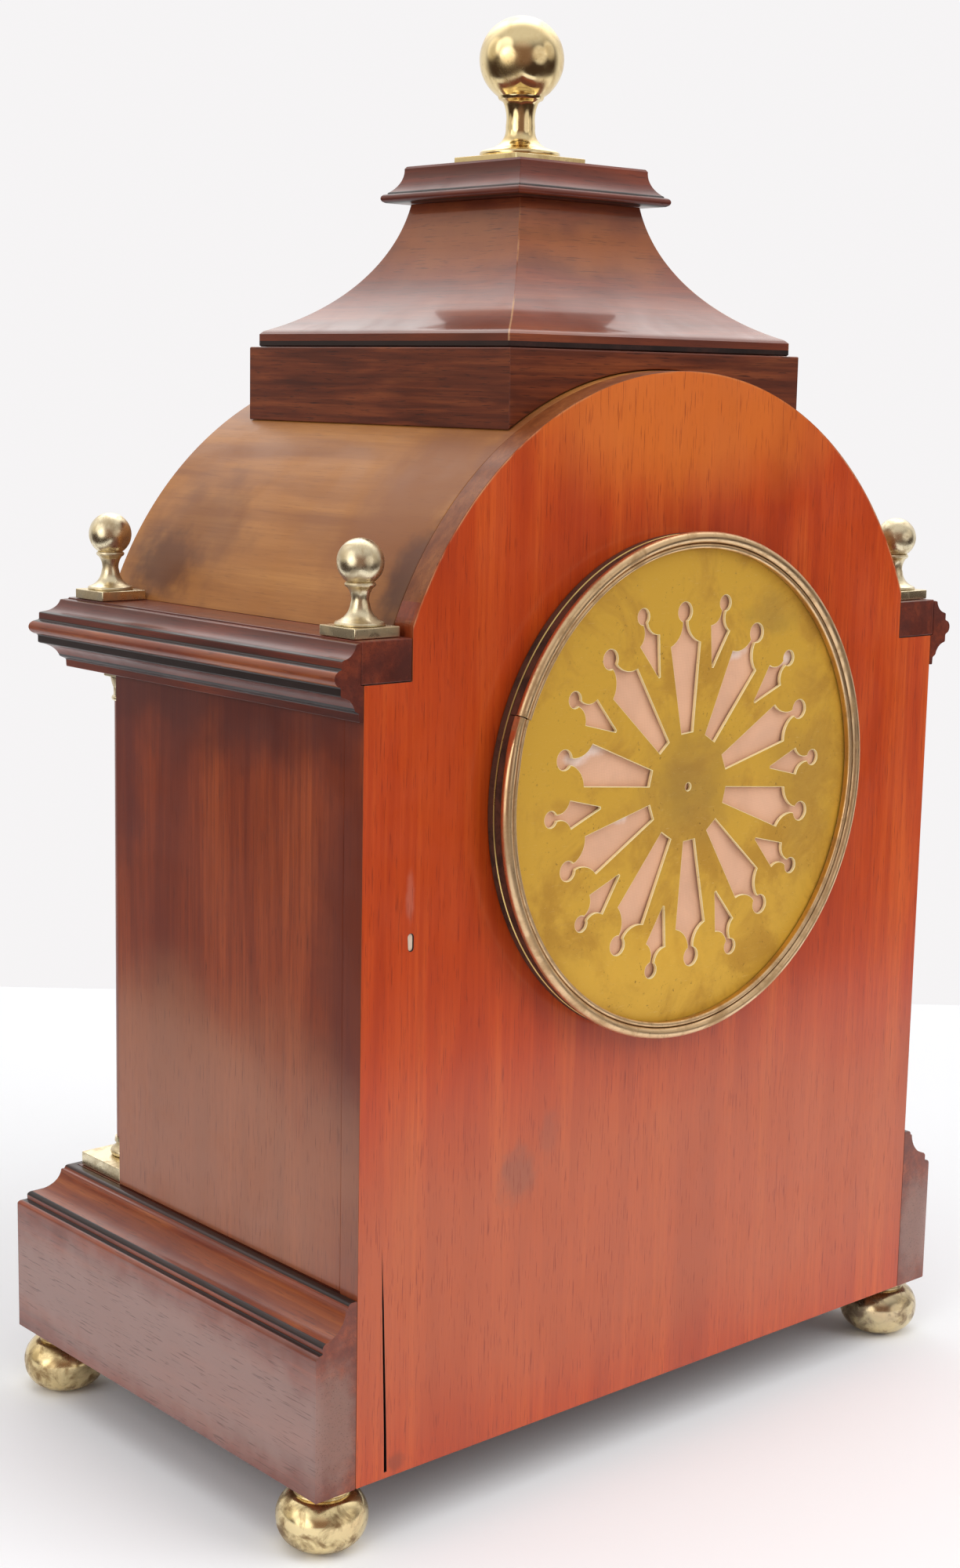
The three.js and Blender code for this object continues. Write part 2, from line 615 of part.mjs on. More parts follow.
// ---------------------------------------------------------------- turned brass
function finials() {
  const ballCentre = TOP_FINIAL_HEIGHT - TOP_BALL_RADIUS;
  const top = turnedUpright(
    [
      [0, 1],
      [12, 1],
      [12, 4.6],
      [9.4, 5.4],
      [5.8, 7.1],
      [4, 12.6],
      [4.2, 17],
      [5, 20.4],
      [6.3, 21.6],
      [6.3, 23],
      ...arc([0, ballCentre], TOP_BALL_RADIUS, radians(-66), radians(90), 7),
    ],
    16,
  );
  const plate = box(
    -TOP_FINIAL_PLATE_HALF,
    -TOP_FINIAL_PLATE_HALF,
    0,
    TOP_FINIAL_PLATE_HALF,
    TOP_FINIAL_PLATE_HALF,
    3,
  );
  const topFinial = add('top_finial', join(plate, top), POLISHED_BRASS);
  topFinial.position.set(...TOP_FINIAL_SHIFT, CAP_TOP + GLUE_LINE);

  const cornerCentre = CORNER_FINIAL_HEIGHT - CORNER_BALL_RADIUS;
  const turned = turnedUpright(
    [
      [0, 1],
      [7, 1],
      [6.6, 3.9],
      [4.6, 5],
      [2.5, 7.4],
      [2.4, 9.6],
      [3.5, 13],
      [4.2, 14.4],
      [3.6, 15.6],
      ...arc([0, cornerCentre], CORNER_BALL_RADIUS, radians(-50), radians(90), 4),
    ],
    10,
  );
  const foot = box(-CORNER_PLATE_HALF, -CORNER_PLATE_HALF, 0, CORNER_PLATE_HALF, CORNER_PLATE_HALF, 3);
  const corner = join(foot, turned);
  const offsetX = BODY_HALF_WIDTH - CORNER_FINIAL_INSET_X;
  const ends = [
    ['front', FRONT_Y + CORNER_FINIAL_INSET_Y],
    ['back', BACK_Y - CORNER_FINIAL_INSET_Y],
  ];
  for (const [name, side] of SIDES) {
    for (const [end, y] of ends) {
      const finial = add(`finial_${end}_${name}`, corner.clone(), POLISHED_BRASS);
      finial.position.set(side * offsetX, y, SHOULDER_TOP + GLUE_LINE);
    }
  }
}

function feet() {
  const R = FOOT_RADIUS;
  const H = FOOT_HEIGHT;
  const bun = turnedUpright(
    [
      [0, -H],
      [R * 0.42, -H],
      ...arc([R - FOOT_BULGE, -H * 0.535], FOOT_BULGE, radians(-72), radians(72), 6),
      [R * 0.64, -GLUE_LINE],
      [0, -GLUE_LINE],
    ],
    16,
  );
  const ends = [
    ['front', FOOT_FRONT_Y],
    ['back', FOOT_BACK_Y],
  ];
  for (const [name, side] of SIDES) {
    for (const [end, y] of ends) {
      const foot = add(`foot_${end}_${name}`, bun.clone(), POLISHED_BRASS);
      foot.position.set(side * FOOT_OFFSET_X, y, 0);
    }
  }
}

function columns() {
  const half = COLUMN_BASE_HALF;
  const torus = COLUMN_TORUS_RADIUS;
  const block = COLUMN_BLOCK_HEIGHT;
  const baseTop = BODY_BOTTOM + COLUMN_BASE_HEIGHT;
  const capitalTop = CORNICE_BOTTOM - GLUE_LINE;
  const capitalBottom = capitalTop - COLUMN_CAPITAL_HEIGHT;
  const base = join(
    box(-half, -half, 0, half, half, block),
    turnedUpright(
      [
        [0, block - 1],
        ...arcThrough([torus - 0.9, block - 1], [torus, block + 1.2], [torus - 0.9, block + 2.9], 3),
        [torus - 1.5, block + 3.4],
        [torus - 1.5, block + 4.2],
        [COLUMN_FOOT_RADIUS + 0.7, block + 4.9],
        [COLUMN_FOOT_RADIUS + 0.5, COLUMN_BASE_HEIGHT],
        [0, COLUMN_BASE_HEIGHT],
      ],
      12,
    ),
  );
  const shaft = turnedUpright(
    [
      [0, baseTop + GLUE_LINE],
      [COLUMN_FOOT_RADIUS, baseTop + GLUE_LINE],
      [COLUMN_FOOT_RADIUS, (baseTop + capitalBottom) / 2],
      [COLUMN_NECK_RADIUS, capitalBottom - GLUE_LINE],
      [0, capitalBottom - GLUE_LINE],
    ],
    12,
  );
  const cap = COLUMN_CAPITAL_HALF;
  const top = COLUMN_CAPITAL_HEIGHT;
  const capital = join(
    box(-cap, -cap, top - 2.6, cap, cap, top),
    turnedUpright(
      [
        [0, 0],
        [COLUMN_NECK_RADIUS + 0.3, 0],
        [COLUMN_NECK_RADIUS + 0.9, 0.8],
        [COLUMN_NECK_RADIUS + 0.3, 1.6],
        [COLUMN_NECK_RADIUS + 0.3, 4],
        ...arcThrough([cap - 0.8, 4.8], [cap - 0.3, 5.8], [cap - 0.1, top - 2], 2),
        [0, top - 2],
      ],
      12,
    ),
  );
  const x = BODY_HALF_WIDTH - COLUMN_RECESS / 2 + 0.1;
  const y = FRONT_Y + COLUMN_RECESS / 2 - 0.1;
  for (const [name, side] of SIDES) {
    add(`column_base_${name}`, base.clone(), POLISHED_BRASS).position.set(side * x, y, BODY_BOTTOM);
    add(`column_shaft_${name}`, shaft.clone(), DARK_MAHOGANY).position.set(side * x, y, 0);
    add(`column_capital_${name}`, capital.clone(), POLISHED_BRASS).position.set(side * x, y, capitalBottom);
  }
}

// ---------------------------------------------------------------- round doors
// Built facing +Y about their own centre, hinged on their -X side. Depth 0 is the face of the panel.
function tubeOuter(flangeRadius) {
  return flangeRadius - FLANGE_WIDTH + TUBE_WALL;
}

/** Half-round hinge barrel with a web that reaches a ring, from one height to another. */
function knuckle(flangeRadius, webDepths, bottom, top) {
  const axisX = -(flangeRadius + HINGE_OFFSET);
  const barrel = upright(circle([axisX, hingeDepth()], HINGE_BARREL_RADIUS, 12), bottom, top);
  const web = box(axisX, webDepths[0], bottom, axisX + HINGE_OFFSET + RIM_WALL / 2, webDepths[1], top);
  return [barrel, web];
}

function hingeDepth() {
  return RIM_JOINT - FITTED_GAP / 2;
}

function hingeBore(flangeRadius) {
  const bore = circle([-(flangeRadius + HINGE_OFFSET), hingeDepth()], boreFor(HINGE_PIN_RADIUS, 12), 12);
  return upright(bore, -HINGE_HALF_LENGTH - 1, HINGE_HALF_LENGTH + 1);
}

/** Fixed ring: a tube let into the panel and a flange on its face, with the two outer knuckles. */
function fixedRing(flangeRadius) {
  const bore = flangeRadius - FLANGE_WIDTH;
  const flangeFace = FITTED_GAP + FLANGE_HEIGHT;
  const ring = turnedAlongY(
    [
      [bore, -TUBE_DEPTH],
      [bore + TUBE_WALL, -TUBE_DEPTH],
      [bore + TUBE_WALL, FITTED_GAP],
      [flangeRadius, FITTED_GAP],
      [flangeRadius, flangeFace],
      [bore, flangeFace],
      [bore, -TUBE_DEPTH],
    ],
    RING_SEGMENTS,
  );
  const webDepths = [flangeFace - 1.4, flangeFace];
  const gap = KNUCKLE_HALF_LENGTH + FITTED_GAP;
  const knuckles = [
    ...knuckle(flangeRadius, webDepths, -HINGE_HALF_LENGTH, -gap),
    ...knuckle(flangeRadius, webDepths, gap, HINGE_HALF_LENGTH),
  ];
  return cut(join(ring, ...knuckles), hingeBore(flangeRadius));
}

/** Moving rim: a plain wall crowned by a bead, a groove and an inner lip, with the middle knuckle. */
function doorRim(flangeRadius) {
  const crest = RIM_JOINT + RIM_HEIGHT;
  const inner = flangeRadius - RIM_WALL;
  const bead = arc(
    [flangeRadius - BEAD_RADIUS + 0.8, crest - BEAD_RADIUS],
    BEAD_RADIUS,
    radians(-30),
    radians(150),
    3,
  );
  const lip = arc([inner - 0.4, crest - 1.6], LIP_RADIUS, radians(20), radians(200), 2);
  const lipFoot = crest - 3.25;
  const wall = turnedAlongY(
    [
      [inner, RIM_JOINT],
      [flangeRadius, RIM_JOINT],
      ...bead,
      ...lip,
      [inner - 0.4 - LIP_RADIUS, lipFoot],
      [inner, lipFoot],
      [inner, RIM_JOINT],
    ],
    RING_SEGMENTS,
  );
  const webDepths = [RIM_JOINT, RIM_JOINT + 1.4];
  const middle = knuckle(flangeRadius, webDepths, -KNUCKLE_HALF_LENGTH, KNUCKLE_HALF_LENGTH);
  return cut(join(wall, ...middle), hingeBore(flangeRadius));
}

function hingePin(flangeRadius) {
  const pin = circle([-(flangeRadius + HINGE_OFFSET), hingeDepth()], HINGE_PIN_RADIUS, 12);
  return upright(pin, -HINGE_HALF_LENGTH - 0.4, HINGE_HALF_LENGTH + 0.4);
}

/** Outline of one piercing that points outwards along an angle, seen from behind the clock. */
function piercing({ foot, shoulder, neck, ball }, angle) {
  const flank = arcThrough(
    shoulder,
    [(shoulder[0] + neck[0]) / 2 - 0.3, (shoulder[1] + neck[1]) / 2 - 0.8],
    neck,
    2,
  );
  const opening = Math.asin(neck[1] / ball[1]);
  const round = arc([ball[0], 0], ball[1], Math.PI - opening, -Math.PI + opening, 5);
  const half = [foot, ...flank];
  const outline = [...half, ...round, ...half.map(([r, w]) => [r, -w]).reverse()];
  const turn = radians(angle);
  return outline.map(([r, w]) => {
    const along = r * Math.cos(turn) - w * Math.sin(turn);
    const across = r * Math.sin(turn) + w * Math.cos(turn);
    return [-along, across];
  });
}

function rearDoor() {
  const door = new THREE.Group();
  door.position.set(0, BACK_Y, DOOR_CENTRE_Z);
  clock.add(door);
  add('rear_ring', fixedRing(REAR_FLANGE_RADIUS), AGED_BRASS, door);
  add('rear_door_rim', doorRim(REAR_FLANGE_RADIUS), AGED_BRASS, door);
  add('rear_hinge_pin', hingePin(REAR_FLANGE_RADIUS), BRIGHT_STEEL, door);

  const plateRadius = REAR_FLANGE_RADIUS - RIM_WALL - FITTED_GAP;
  const plateFace = RIM_JOINT + RIM_HEIGHT - 3.25 - FITTED_GAP;
  const plateBack = plateFace - PIERCED_PLATE_THICKNESS;
  const step = 360 / PIERCING_COUNT;
  const holes = [circle([0, 0], DOOR_CENTRE_HOLE, 8)];
  for (let i = 0; i < PIERCING_COUNT; i += 1) {
    holes.push(piercing(LONG_SLOT, LONG_SLOT_START_ANGLE - i * step));
    holes.push(piercing(SHORT_SLOT, SHORT_SLOT_START_ANGLE - i * step));
  }
  const plate = panel(circle([0, 0], plateRadius, RING_SEGMENTS), plateBack, plateFace, holes);
  add('rear_door_plate', plate, AGED_BRASS, door);

  const liningFront = plateBack - FITTED_GAP;
  const lining = rod([0, 0], plateRadius - 0.8, liningFront - LINING_THICKNESS, liningFront, RING_SEGMENTS);
  add('rear_door_lining', lining, PINK_SILK, door);
}

function frontDoor() {
  const door = new THREE.Group();
  door.position.set(0, FRONT_Y, DOOR_CENTRE_Z);
  door.rotation.z = Math.PI;
  clock.add(door);
  add('dial_ring', fixedRing(FRONT_FLANGE_RADIUS), POLISHED_BRASS, door);
  add('front_door_rim', doorRim(FRONT_FLANGE_RADIUS), POLISHED_BRASS, door);
  add('front_hinge_pin', hingePin(FRONT_FLANGE_RADIUS), BRIGHT_STEEL, door);

  const glassRadius = FRONT_FLANGE_RADIUS - RIM_WALL - FITTED_GAP;
  const seat = RIM_JOINT + RIM_HEIGHT - 3.25 - FITTED_GAP;
  const edgeBack = seat - GLASS_THICKNESS / 2;
  const glass = turnedAlongY(
    [
      [0, edgeBack],
      [glassRadius, edgeBack],
      [glassRadius, seat - 0.3],
      [glassRadius - GLASS_BEVEL, edgeBack + GLASS_THICKNESS],
      [0, edgeBack + GLASS_THICKNESS],
    ],
    RING_SEGMENTS,
  );
  add('front_glass', glass, CLEAR_GLASS, door);
}

// ---------------------------------------------------------------- movement
const works = new THREE.Group();
works.position.set(0, FRONT_Y, DOOR_CENTRE_Z);
clock.add(works);

const polarPoint = (radius, angle) => [radius * Math.cos(angle), radius * Math.sin(angle)];
const polar = (radius, degrees) => polarPoint(radius, radians(degrees));
const angleTo = (from, to) => Math.atan2(to[1] - from[1], to[0] - from[0]);
const moved = ([x, z], distance, angle) => [x + distance * Math.cos(angle), z + distance * Math.sin(angle)];

/** The point at given distances from two places, on the left of the line from the first to the second. */
function meetingPoint(a, fromA, b, fromB) {
  const apart = Math.hypot(b[0] - a[0], b[1] - a[1]);
  const swing = Math.acos((fromA ** 2 + apart ** 2 - fromB ** 2) / (2 * fromA * apart));
  return moved(a, fromA, angleTo(a, b) - swing);
}

const CENTRE = [0, 0];
const GOING = BARREL_CENTRE;
const STRIKE = [-BARREL_CENTRE[0], BARREL_CENTRE[1]];
const INTERMEDIATE = meetingPoint(GOING, INTERMEDIATE_DISTANCE[0], CENTRE, INTERMEDIATE_DISTANCE[1]);
const THIRD = polar(THIRD_DISTANCE, THIRD_ANGLE);
const ESCAPE = [0, THIRD[1] + Math.sqrt(ESCAPE_DISTANCE ** 2 - THIRD[0] ** 2)];
const ANCHOR = [0, ESCAPE[1] + ANCHOR_ABOVE_ESCAPE];
const SUSPENSION = [0, ANCHOR[1] + SUSPENSION_ABOVE_ANCHOR];

/** Module that makes a wheel and a pinion meet at a centre distance. */
const moduleFor = (distance, teeth, leaves) => (2 * distance) / (teeth + leaves);

/** Pointed teeth about [0, 0], with the first tooth on the given angle. */
function wheelOutline(teeth, module, firstAngle) {
  const pitch = (2 * Math.PI) / teeth;
  const tip = (module * teeth) / 2 + module * 0.8;
  const root = (module * teeth) / 2 - module * 1.5;
  const points = [];
  for (let i = 0; i < teeth; i += 1) {
    const middle = firstAngle + i * pitch;
    points.push(polarPoint(tip, middle));
    points.push(polarPoint(root, middle + pitch / 2));
  }
  return points;
}

/** Pinion leaves about [0, 0], with the first gap on the given angle. */
function pinionOutline(leaves, module, gapAngle) {
  const pitch = (2 * Math.PI) / leaves;
  const tip = (module * leaves) / 2 + module * 0.6;
  const root = (module * leaves) / 2 - module;
  const halfTip = pitch * 0.06;
  const halfFoot = pitch * 0.2;
  const points = [];
  for (let i = 0; i < leaves; i += 1) {
    const middle = gapAngle + (i + 0.5) * pitch;
    points.push(polarPoint(root, middle - halfFoot));
    points.push(polarPoint(tip, middle - halfTip));
    points.push(polarPoint(tip, middle + halfTip));
    points.push(polarPoint(root, middle + halfFoot));
  }
  return points;
}

const at = (geometry, [x, z]) => geometry.translate(x, 0, z);

/** A flat toothed disc centred on a depth. */
const disc = (outline, depth, thickness, holes = []) =>
  panel(outline, depth - thickness / 2, depth + thickness / 2, holes);

const PINION_REACH = 3; // pinion leaves stand this far each side of the wheel that they mesh with
const FRONT_PIVOT = FRONT_PLATE_DEPTH - 0.3;
const BACK_PIVOT = MOVEMENT_BACK + 0.3;

function plates() {
  const rim = circle(CENTRE, PLATE_RADIUS, 28);
  const hole = (place, radius) => circle(place, boreFor(radius, 8), 8);
  const shared = [
    hole(GOING, WINDING_ARBOR_RADIUS),
    hole(STRIKE, WINDING_ARBOR_RADIUS),
    hole(INTERMEDIATE, ARBOR_RADIUS),
    hole(CENTRE, CENTRE_ARBOR_RADIUS),
    hole(THIRD, THIN_ARBOR_RADIUS),
    hole(ESCAPE, THIN_ARBOR_RADIUS),
    hole(ANCHOR, THIN_ARBOR_RADIUS),
    hole(HAMMER_PIVOT, ARBOR_RADIUS),
  ];
  const pillars = PILLAR_ANGLES.map((angle) =>
    rod(polar(PILLAR_ORBIT, angle), PILLAR_RADIUS, FRONT_PLATE_DEPTH + 1, BACK_PLATE_DEPTH - GLUE_LINE, 8),
  );
  const front = panel(rim, FRONT_PLATE_DEPTH, FRONT_PLATE_DEPTH + PLATE_THICKNESS, shared);
  add('movement_front_plate', join(front, ...pillars), AGED_BRASS, works);

  const back = panel(rim, BACK_PLATE_DEPTH, MOVEMENT_BACK, shared);
  const bellTop = MOVEMENT_BACK + BELL_BEHIND_PLATE + BELL_HEIGHT;
  const post = rod(BELL_CENTRE, BELL_POST_RADIUS, MOVEMENT_BACK - 1, bellTop + 3.6, 12);
  add('movement_back_plate', join(back, post), AGED_BRASS, works);
}

function barrels() {
  const module = moduleFor(INTERMEDIATE_DISTANCE[0], TEETH.great, LEAVES.intermediate);
  const bore = circle(CENTRE, boreFor(WINDING_ARBOR_RADIUS, 8), 8);
  const drumBack = GREAT_WHEEL_DEPTH;
  for (const [name, place, meshAngle] of [
    ['going', GOING, angleTo(GOING, INTERMEDIATE)],
    ['strike', STRIKE, Math.PI / 2],
  ]) {
    const wheel = disc(wheelOutline(TEETH.great, module, meshAngle), GREAT_WHEEL_DEPTH, 2, [bore]);
    const drum = panel(circle(CENTRE, BARREL_RADIUS, 20), BARREL_DEPTH, drumBack, [bore]);
    add(`${name}_barrel`, at(join(drum, wheel), place), AGED_BRASS, works);

    const squareFront = DIAL_SETBACK + DIAL_THICKNESS / 2;
    const square = box(
      -WINDING_SQUARE_HALF,
      squareFront,
      -WINDING_SQUARE_HALF,
      WINDING_SQUARE_HALF,
      FRONT_PLATE_DEPTH,
      WINDING_SQUARE_HALF,
    );
    const shaft = rod(CENTRE, WINDING_ARBOR_RADIUS, FRONT_PLATE_DEPTH - 1.2, BACK_PIVOT, 8);
    add(`${name}_arbor`, at(join(square, shaft), place), BRIGHT_STEEL, works);
  }
}

function train() {
  const intermediateModule = moduleFor(INTERMEDIATE_DISTANCE[0], TEETH.great, LEAVES.intermediate);
  const centreModule = moduleFor(INTERMEDIATE_DISTANCE[1], TEETH.intermediate, LEAVES.centre);
  const thirdModule = moduleFor(THIRD_DISTANCE, TEETH.centre, LEAVES.third);
  const escapeModule = moduleFor(ESCAPE_DISTANCE, TEETH.third, LEAVES.escape);

  const toothed = (name, place, shaft, wheel, pinion, finishOf) => {
    const arbor = rod(CENTRE, shaft.radius, shaft.from, shaft.to, 6);
    const wheelDisc = disc(wheel.outline, wheel.depth, WHEEL_THICKNESS);
    const leaves = disc(pinion.outline, pinion.depth, 2 * PINION_REACH);
    add(name, at(join(arbor, wheelDisc, leaves), place), finishOf, works);
  };

  toothed(
    'intermediate_wheel',
    INTERMEDIATE,
    { radius: ARBOR_RADIUS, from: FRONT_PIVOT, to: BACK_PIVOT },
    {
      outline: wheelOutline(TEETH.intermediate, centreModule, angleTo(INTERMEDIATE, CENTRE)),
      depth: INTERMEDIATE_DEPTH,
    },
    {
      outline: pinionOutline(LEAVES.intermediate, intermediateModule, angleTo(INTERMEDIATE, GOING)),
      depth: GREAT_WHEEL_DEPTH,
    },
    AGED_BRASS,
  );
  toothed(
    'centre_wheel',
    CENTRE,
    { radius: CENTRE_ARBOR_RADIUS, from: -0.6, to: BACK_PIVOT },
    { outline: wheelOutline(TEETH.centre, thirdModule, angleTo(CENTRE, THIRD)), depth: CENTRE_WHEEL_DEPTH },
    {
      outline: pinionOutline(LEAVES.centre, centreModule, angleTo(CENTRE, INTERMEDIATE)),
      depth: INTERMEDIATE_DEPTH,
    },
    AGED_BRASS,
  );
  toothed(
    'third_wheel',
    THIRD,
    { radius: THIN_ARBOR_RADIUS, from: FRONT_PIVOT, to: BACK_PIVOT },
    { outline: wheelOutline(TEETH.third, escapeModule, angleTo(THIRD, ESCAPE)), depth: THIRD_WHEEL_DEPTH },
    {
      outline: pinionOutline(LEAVES.third, thirdModule, angleTo(THIRD, CENTRE)),
      depth: CENTRE_WHEEL_DEPTH - 1.4,
    },
    AGED_BRASS,
  );

  const teeth = [];
  const escapePitch = (2 * Math.PI) / TEETH.escape;
  for (let i = 0; i < TEETH.escape; i += 1) {
    teeth.push(polarPoint(ESCAPE_RADIUS, i * escapePitch));
    teeth.push(polarPoint(ESCAPE_RADIUS - 1.4, (i + 0.15) * escapePitch));
  }
  toothed(
    'escape_wheel',
    ESCAPE,
    { radius: THIN_ARBOR_RADIUS, from: FRONT_PIVOT, to: BACK_PIVOT },
    { outline: teeth, depth: ESCAPE_WHEEL_DEPTH },
    {
      outline: pinionOutline(LEAVES.escape, escapeModule, angleTo(ESCAPE, THIRD)),
      depth: THIRD_WHEEL_DEPTH,
    },
    AGED_BRASS,
  );
}

/** Anchor with its arbor and the crutch whose fork holds the pendulum rod. */
function escapement() {
  const palletRadius = ESCAPE_RADIUS + PALLET_GAP;
  const pallet = polarPoint(palletRadius, radians(42));
  const drop = -ANCHOR_ABOVE_ESCAPE;
  const armRight = [
    [0, 1.6],
    [pallet[0] + 1.6, drop + pallet[1] + 3.2],
    [pallet[0] + 1.2, drop + pallet[1] + 0.8],
    [pallet[0], drop + pallet[1]],
    [pallet[0] - 0.4, drop + pallet[1] + 1.9],
    [0, -1.2],
  ];
  const armOutline = [...armRight, ...armRight.slice(1, -1).reverse().map(([x, z]) => [-x, z])];
  const arms = disc(armOutline, ESCAPE_WHEEL_DEPTH, 1.8);
  const crutchFront = MOVEMENT_BACK + 1.6;
  const crutchBack = crutchFront + 1.2;
  const rodY = MOVEMENT_BACK + PENDULUM_BEHIND_PLATE;
  const arbor = rod(CENTRE, THIN_ARBOR_RADIUS, FRONT_PIVOT, crutchBack, 6);
  const crutch = box(-0.9, crutchFront, -CRUTCH_LENGTH, 0.9, crutchBack, 1.5);
  const bridge = box(-2.6, crutchFront, -CRUTCH_LENGTH - 4, 2.6, crutchBack, -CRUTCH_LENGTH + 0.1);
  const prong = (side) =>
    box(
      side > 0 ? 1.6 : -2.6,
      crutchFront,
      -CRUTCH_LENGTH - 4,
      side > 0 ? 2.6 : -1.6,
      rodY + 1.6,
      -CRUTCH_LENGTH,
    );
  add('anchor', at(join(arms, arbor, crutch, bridge, prong(1), prong(-1)), ANCHOR), BRIGHT_STEEL, works);

  const cockBottom = SUSPENSION[1] + FITTED_GAP;
  const cock = join(
    box(-6, MOVEMENT_BACK + GLUE_LINE, cockBottom, 6, MOVEMENT_BACK + 2.2, cockBottom + 5.5),
    box(-4, MOVEMENT_BACK + 1, cockBottom, 4, rodY + 2.6, cockBottom + 4),
  );
  add('suspension_cock', cock, AGED_BRASS, works);

  const bobZ = -PENDULUM_LENGTH;
  const bob = turnedAlongY(
    [
      [0, rodY - BOB_THICKNESS / 2],
      [BOB_RADIUS * 0.6, rodY - BOB_THICKNESS / 2 + 1],
      [BOB_RADIUS - 0.4, rodY - 0.7],
      [BOB_RADIUS - 0.4, rodY + 0.7],
      [BOB_RADIUS * 0.6, rodY + BOB_THICKNESS / 2 - 1],
      [0, rodY + BOB_THICKNESS / 2],
    ],
    20,
  ).translate(0, 0, bobZ);
  const pendulum = join(
    box(-2.5, rodY - 0.25, -9, 2.5, rodY + 0.25, 0),
    box(-3, rodY - 1.5, -12.5, 3, rodY + 1.5, -8.5),
    turnedUpright([[0, bobZ - BOB_RADIUS - 8], [1, bobZ - BOB_RADIUS - 8], [1, -12], [0, -12]], 8).translate(
      0,
      rodY,
      0,
    ),
    bob,
    turnedUpright(
      [
        [0, bobZ - BOB_RADIUS - 4.5],
        [3.2, bobZ - BOB_RADIUS - 4.5],
        [3.2, bobZ - BOB_RADIUS - 2],
        [0, bobZ - BOB_RADIUS - 2],
      ],
      12,
    ).translate(0, rodY, 0),
  );
  add('pendulum', at(pendulum, SUSPENSION), POLISHED_BRASS, works);
}

function bellAndHammer() {
  const rimY = MOVEMENT_BACK + BELL_BEHIND_PLATE;
  const topY = rimY + BELL_HEIGHT;
  const R = BELL_RADIUS;
  const bore = boreFor(BELL_POST_RADIUS, 12);
  const outer = arcThrough([R - 0.6, rimY + 6], [R * 0.74, rimY + 18], [6, topY], 4);
  const inner = arcThrough(
    [6, topY - BELL_WALL],
    [(R - BELL_WALL) * 0.73, rimY + 17],
    [R - 0.6 - BELL_WALL, rimY + 6],
    4,
  );
  const bell = turnedAlongY(
    [
      [R - BELL_WALL, rimY],
      [R, rimY],
      ...outer,
      [4.6, topY],
      [4.6, topY + 3],
      [bore, topY + 3],
      [bore, topY - BELL_WALL],
      ...inner,
      [R - BELL_WALL, rimY],
    ],
    20,
  );
  add('bell', at(bell, BELL_CENTRE), BELL_METAL, works);

  const strikeX = BELL_CENTRE[0] + R + HAMMER_GAP;
  const strikeZ = BELL_CENTRE[1];
  const headY = rimY + 2;
  const headRight = strikeX + HAMMER_HEAD_LENGTH;
  const head = turnedUpright(
    [[0, 0], [HAMMER_HEAD_RADIUS, 0], [HAMMER_HEAD_RADIUS, HAMMER_HEAD_LENGTH], [0, HAMMER_HEAD_LENGTH]],
    12,
  )
    .rotateY(Math.PI / 2)
    .translate(strikeX, headY, strikeZ);
  const reach = [strikeX + HAMMER_HEAD_LENGTH / 2, strikeZ];
  const tilt = angleTo(HAMMER_PIVOT, reach);
  const length = Math.hypot(reach[0] - HAMMER_PIVOT[0], reach[1] - HAMMER_PIVOT[1]);
  const side = moved(CENTRE, 1.1, tilt + Math.PI / 2);
  const end = moved(HAMMER_PIVOT, length, tilt);
  const arm = panel(
    [
      [HAMMER_PIVOT[0] - side[0], HAMMER_PIVOT[1] - side[1]],
      [end[0] - side[0], end[1] - side[1]],
      [end[0] + side[0], end[1] + side[1]],
      [HAMMER_PIVOT[0] + side[0], HAMMER_PIVOT[1] + side[1]],
    ],
    headY - 0.8,
    headY + 0.8,
  );
  const hub = rod(HAMMER_PIVOT, 2.6, headY - 1.4, headY + 1.4, 12);
  const arbor = rod(HAMMER_PIVOT, ARBOR_RADIUS, FRONT_PIVOT, headY + 1, 6);
  add('hammer', join(head, arm, hub, arbor), BRIGHT_STEEL, works);
}

